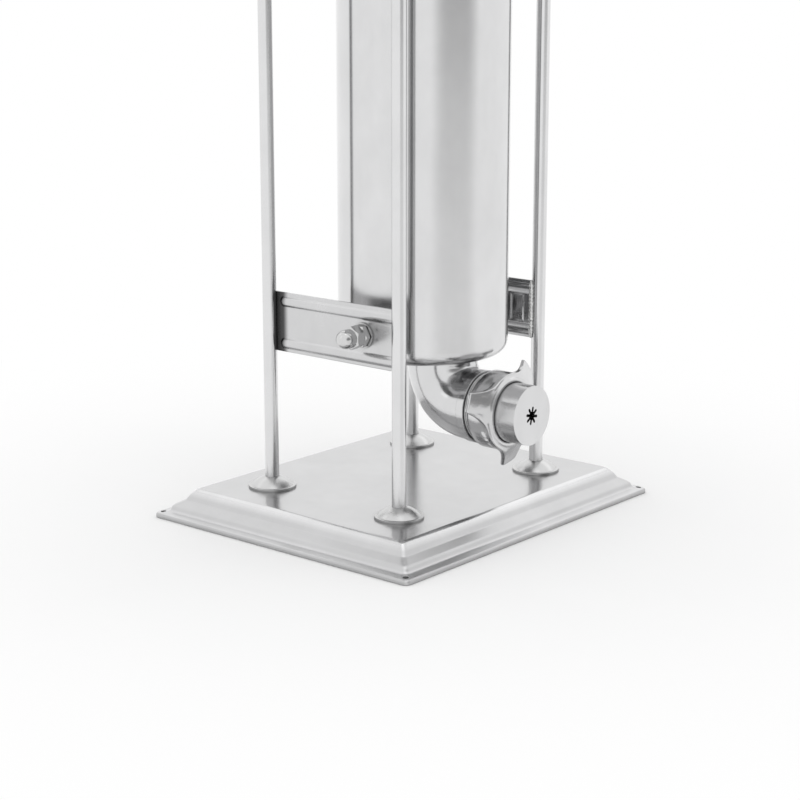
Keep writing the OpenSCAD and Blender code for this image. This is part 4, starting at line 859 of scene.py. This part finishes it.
def nut_profile(big):
    """The nut's section where its outline has this radius, as (radius, Y) points.

    It runs from the bore at the back, over the hub and the wing, to the bore at the front.
    """
    front_hub = NUT_LIP + WING_T / 2
    front_tip = front_hub + WING_SWEEP
    back_tip = front_tip + WING_T
    root = front_hub + WING_ROOT_T
    out = max(0.0, big - NUT_HUB_R)
    t = out / (NUT_TIP_R - NUT_HUB_R)
    yf = front_hub + (front_tip - front_hub) * t
    yb = root + (back_tip - root) * t
    soft = min(ROOT_FILLET, out * ROOT_FILLET_SHARE)
    edge = min(WING_EDGE, out * WING_EDGE_SHARE)
    side = NUT_BACK - HUB_CHAMFER
    prof = [(NUT_BORE_R, NUT_BACK), (NUT_HUB_R - HUB_CHAMFER, NUT_BACK),
            (NUT_HUB_R - HUB_CHAMFER_MID, NUT_BACK - HUB_CHAMFER_MID), (NUT_HUB_R, side)]
    prof += [(NUT_HUB_R, side + (root + soft - side) * s) for s in HALFWAYS]
    for i in range(ROOT_FILLET_STEPS + 1):
        turn = math.pi / 2 * i / ROOT_FILLET_STEPS
        prof.append((NUT_HUB_R + soft * (1 - math.cos(turn)), root + soft * (1 - math.sin(turn))))
    inner = NUT_HUB_R + soft
    prof += [(inner + (big - edge - inner) * s, root + (yb - root) * s) for s in HALFWAYS]
    prof += [(big - edge, yb), (big, yb - edge)]
    prof += [(big, yb + (yf - yb) * s) for s in HALFWAYS]
    prof += [(big, yf + FACE_EDGE), (big - FACE_EDGE_MID, yf + FACE_EDGE_MID),
             (big - FACE_EDGE, yf)]
    foot = LIP_R + LIP_FOOT
    prof += [(big + (foot - big) * s, yf + (front_hub - yf) * s) for s in QUARTERS]
    prof += [(foot, front_hub), (LIP_R + LIP_FOOT_MID, front_hub - LIP_FOOT_DROP),
             (LIP_R, front_hub - LIP_FOOT_RISE), (LIP_R, NUT_LIP + LIP_EDGE_DROP),
             (LIP_R - LIP_EDGE_MID, NUT_LIP + LIP_EDGE_MID_DROP), (LIP_R - LIP_EDGE, NUT_LIP),
             (NOZZLE_GAP_R + BORE_CHAMFER, NUT_LIP), (NOZZLE_GAP_R, NUT_LIP + BORE_CHAMFER),
             (NOZZLE_GAP_R, NUT_SHOULDER), (NUT_BORE_R, NUT_SHOULDER)]
    return prof


def build_nut():
    loops = []
    for i in range(NUT_STEPS):
        th = 2 * math.pi * i / NUT_STEPS
        loops.append([Vector((r * math.cos(th), y, OUTLET_Z + r * math.sin(th)))
                      for r, y in nut_profile(wing_radius(th))])
    verts, faces = loft(loops, close_rows=True)
    nut = make_object("wing_nut", verts, faces)
    sharpen(nut, NUT_SHARP_DEGREES)
    return dress(nut, "cast_steel", "nut", "nozzle_nut")


build_nut()


# Grip: turned handle with shallow rings

GRIP_SHARES = [(0, 0.55), (0.004, 0.60), (0.03, 0.71), (0.10, 0.80), (0.28, 0.925),
               (0.50, 0.995), (0.74, 0.935), (0.90, 0.80), (0.97, 0.69), (0.996, 0.58), (1, 0.53)]
GRIP_BEND_R, GRIP_BEND_STEPS = 0.03, 8
GRIP_CELL, GRIP_SIDES = 0.0004, 72
GRIP_SHARP_DEGREES = 50
GRIP_HOLE_R, GRIP_HOLE_INSET = 0.0051, 0.0001
RING_DEPTH, RING_PITCH, RING_POWER = 0.00028, 0.0052, 6
RING_FROM_SHARE, RING_TO_SHARE = 0.12, 0.88


def grip_profile(length, big):
    """The grip's section from end to end, as (place, radius), fine enough for its rings."""
    line = fillet([(s * length, r * big) for s, r in GRIP_SHARES], GRIP_BEND_R, GRIP_BEND_STEPS)
    dense = []
    for (x0, r0), (x1, r1) in zip(line, line[1:]):
        n = max(1, int(abs(x1 - x0) / GRIP_CELL))
        dense += [(x0 + (x1 - x0) * s / n, r0 + (r1 - r0) * s / n) for s in range(n)]
    dense.append(tuple(line[-1]))
    rings = []
    for x, r in dense:
        if RING_FROM_SHARE < x / length < RING_TO_SHARE:
            r -= RING_DEPTH * max(0.0, math.cos(2 * math.pi * x / RING_PITCH)) ** RING_POWER
        rings.append((x, r))
    return rings


def build_grip():
    lo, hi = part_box("grip")
    cy, cz = middle("grip", Y), middle("grip", Z)
    length = hi.x - lo.x
    rows = [(GRIP_HOLE_INSET, GRIP_HOLE_R)] + grip_profile(length, (hi.z - lo.z) / 2)
    rows.append((length - GRIP_HOLE_INSET, GRIP_HOLE_R))
    angles = [2 * math.pi * i / GRIP_SIDES for i in range(GRIP_SIDES)]
    loops = [[Vector((lo.x + x, cy + r * math.cos(a), cz + r * math.sin(a))) for a in angles]
             for x, r in rows]
    verts, faces = loft(loops, close_rows=True)
    grip = make_object("grip_turned", verts, faces)
    sharpen(grip, GRIP_SHARP_DEGREES)
    return dress(grip, "grip_plastic", "grip", "grip")


build_grip()


# Camera, solved from the photo

AZ, PITCH = math.radians(-49.907), math.radians(13.605)
EYE_BACK, EYE_RIGHT, EYE_UP = 1.695529, -0.005335, 0.092186
FOCAL_PX, IMAGE_PX = 1911.818, 800.0
SENSOR_MM = 36.0
CLIP_END = 50.0


def build_camera():
    back = Vector((math.sin(AZ) * math.cos(PITCH), -math.cos(AZ) * math.cos(PITCH),
                   math.sin(PITCH)))
    right = Vector((math.cos(AZ), math.sin(AZ), 0))
    up = back.cross(right)
    eye = back * EYE_BACK + right * EYE_RIGHT + up * EYE_UP
    data = bpy.data.cameras.new("photo_camera")
    data.sensor_width = SENSOR_MM
    data.lens = FOCAL_PX * SENSOR_MM / IMAGE_PX
    data.clip_end = CLIP_END
    cam = bpy.data.objects.new("photo_camera", data)
    bpy.context.scene.collection.objects.link(cam)
    cam.matrix_world = Matrix((
        (right.x, up.x, back.x, eye.x),
        (right.y, up.y, back.y, eye.y),
        (right.z, up.z, back.z, eye.z),
        (0, 0, 0, 1)))
    return cam


bpy.context.scene.camera = build_camera()


# Floor, backdrop and light

WHITE = (1, 1, 1, 1)
CARD = (0.97, 0.97, 0.97, 1)
FLOOR_HALF, FLOOR_Z = 9, -0.0003
FADE_FROM, FADE_TO = 0.28, 0.75
NEAR_FROM, NEAR_TO = 0.18, 0.30
ROOM_SHARE = 0.68
SWEEP_AZ = math.radians(259)
# How wide the painted shade on the floor's glow is, and its tone
SWEEP_WIDE, SWEEP_NARROW, SWEEP_SHADE_TONE = math.radians(34), math.radians(12), 0.90
SWEEP_SIDE = (math.cos(SWEEP_AZ), math.sin(SWEEP_AZ), 0.0)
DARK_AZ, DARK_EL = math.radians(263), math.radians(7)
DARK_WIDE, DARK_NARROW, DARK_TONE = math.radians(36), math.radians(12), 0.30
DARK_SIDE = (math.cos(DARK_AZ) * math.cos(DARK_EL), math.sin(DARK_AZ) * math.cos(DARK_EL),
             math.sin(DARK_EL))
LAMPS = [("band_left", (-0.05, 1.95, 2.0), (0, 0, 0.0), 2.4, 0.5, 0.22),
         ("band_right", (2.05, -0.15, 1.65), (0, 0, 0.0), 2.2, 0.8, 0.30),
         ("band_top", (-0.3, -0.5, 2.6), (0, 0, 0.1), 0.9, 0.9, 0.35),
         ("key_left", (-2.2, 0.9, 1.5), (0, 0, 0.2), 0.5, 1.6, 0.25)]


def light_path(nt):
    return nt.nodes.new("ShaderNodeLightPath").outputs


def dimmed(nt, path, first_depth):
    """The room's brightness after each further reflection, as pieces stand in each other's light."""
    deep = math_node(nt, "MAXIMUM", math_node(nt, "SUBTRACT", path["Ray Depth"], first_depth))
    return math_node(nt, "POWER", ROOM_SHARE, deep)


def towards(nt, direction, side, wide, narrow, tone):
    """A tone where a direction lies within narrow of a side, and 1 beyond wide of it."""
    turn = vector_math(nt, "DOT_PRODUCT", direction, side).outputs["Value"]
    return map_range(nt, turn, math.cos(wide), math.cos(narrow), 1.0, tone)


def floor_material():
    """White card that keeps the shadow near the object and runs into the white backdrop; in
    reflections it glows, with a painted shade towards the sweep's side.
    """
    mat = bpy.data.materials.new("floor_white")
    mat.use_nodes = True
    nt = mat.node_tree
    nt.nodes.clear()
    out = nt.nodes.new("ShaderNodeOutputMaterial")
    card = nt.nodes.new("ShaderNodeBsdfDiffuse")
    card.inputs["Color"].default_value = CARD
    place = nt.nodes.new("ShaderNodeNewGeometry").outputs["Position"]
    length = vector_math(nt, "LENGTH", place).outputs["Value"]
    path = light_path(nt)
    seen = math_node(nt, "MAXIMUM", path["Is Glossy Ray"], path["Is Transmission Ray"])
    white = math_node(nt, "MULTIPLY", seen, map_range(nt, length, NEAR_FROM, NEAR_TO))
    fade = map_range(nt, length, FADE_FROM, FADE_TO)
    unit = vector_math(nt, "NORMALIZE", place).outputs[0]
    # Painted shade: in reflections the floor's glow is darker towards the sweep's side
    sweep = math_node(nt, "MAXIMUM",
                      towards(nt, unit, SWEEP_SIDE, SWEEP_WIDE, SWEEP_NARROW, SWEEP_SHADE_TONE),
                      math_node(nt, "SUBTRACT", 1.0, path["Is Glossy Ray"]))
    glow = nt.nodes.new("ShaderNodeEmission")
    glow.inputs["Color"].default_value = WHITE
    nt.links.new(math_node(nt, "MULTIPLY", sweep, dimmed(nt, path, 1.0)),
                 glow.inputs["Strength"])
    mix = nt.nodes.new("ShaderNodeMixShader")
    nt.links.new(math_node(nt, "MAXIMUM", white, fade), mix.inputs["Fac"])
    nt.links.new(card.outputs[0], mix.inputs[1])
    nt.links.new(glow.outputs[0], mix.inputs[2])
    nt.links.new(mix.outputs[0], out.inputs["Surface"])
    return mat


floor = make_object("floor", [(-FLOOR_HALF, -FLOOR_HALF, FLOOR_Z),
                              (FLOOR_HALF, -FLOOR_HALF, FLOOR_Z),
                              (FLOOR_HALF, FLOOR_HALF, FLOOR_Z),
                              (-FLOOR_HALF, FLOOR_HALF, FLOOR_Z)], [(0, 1, 2, 3)], smooth=False)
floor.data.materials.append(floor_material())


def build_world():
    """A white room for the camera; reflections also find its darker side, beyond the lit sweep."""
    world = bpy.data.worlds.new("white_room")
    world.use_nodes = True
    nt = world.node_tree
    nt.nodes.clear()
    out = nt.nodes.new("ShaderNodeOutputWorld")
    backdrop = nt.nodes.new("ShaderNodeBackground")
    room = nt.nodes.new("ShaderNodeBackground")
    mix = nt.nodes.new("ShaderNodeMixShader")
    path = light_path(nt)
    for shader in (backdrop, room):
        shader.inputs["Color"].default_value = WHITE
        shader.inputs["Strength"].default_value = 1.0
    # the world counts one step more than the surfaces do
    bright = math_node(nt, "MAXIMUM", dimmed(nt, path, 2.0), path["Is Diffuse Ray"])
    direction = nt.nodes.new("ShaderNodeTexCoord").outputs["Generated"]
    side = math_node(nt, "MAXIMUM",
                     towards(nt, direction, DARK_SIDE, DARK_WIDE, DARK_NARROW, DARK_TONE),
                     path["Is Diffuse Ray"])
    nt.links.new(math_node(nt, "MULTIPLY", bright, side), room.inputs["Strength"])
    nt.links.new(path["Is Camera Ray"], mix.inputs["Fac"])
    nt.links.new(room.outputs[0], mix.inputs[1])
    nt.links.new(backdrop.outputs[0], mix.inputs[2])
    nt.links.new(mix.outputs[0], out.inputs["Surface"])
    return world


bpy.context.scene.world = build_world()


def area_light(name, centre, target, size_x, size_y, radiance):
    """Soft box whose face has the given brightness, where 1 is the white of the room."""
    data = bpy.data.lights.new(name, "AREA")
    data.shape = "RECTANGLE"
    data.size = size_x
    data.size_y = size_y
    data.energy = radiance * math.pi * size_x * size_y
    obj = bpy.data.objects.new(name, data)
    bpy.context.scene.collection.objects.link(obj)
    obj.location = centre
    obj.rotation_euler = (Vector(target) - Vector(centre)).to_track_quat("-Z", "Y").to_euler()
    obj.visible_camera = False


for lamp in LAMPS:
    area_light(*lamp)

bpy.context.scene.view_settings.view_transform = "Standard"
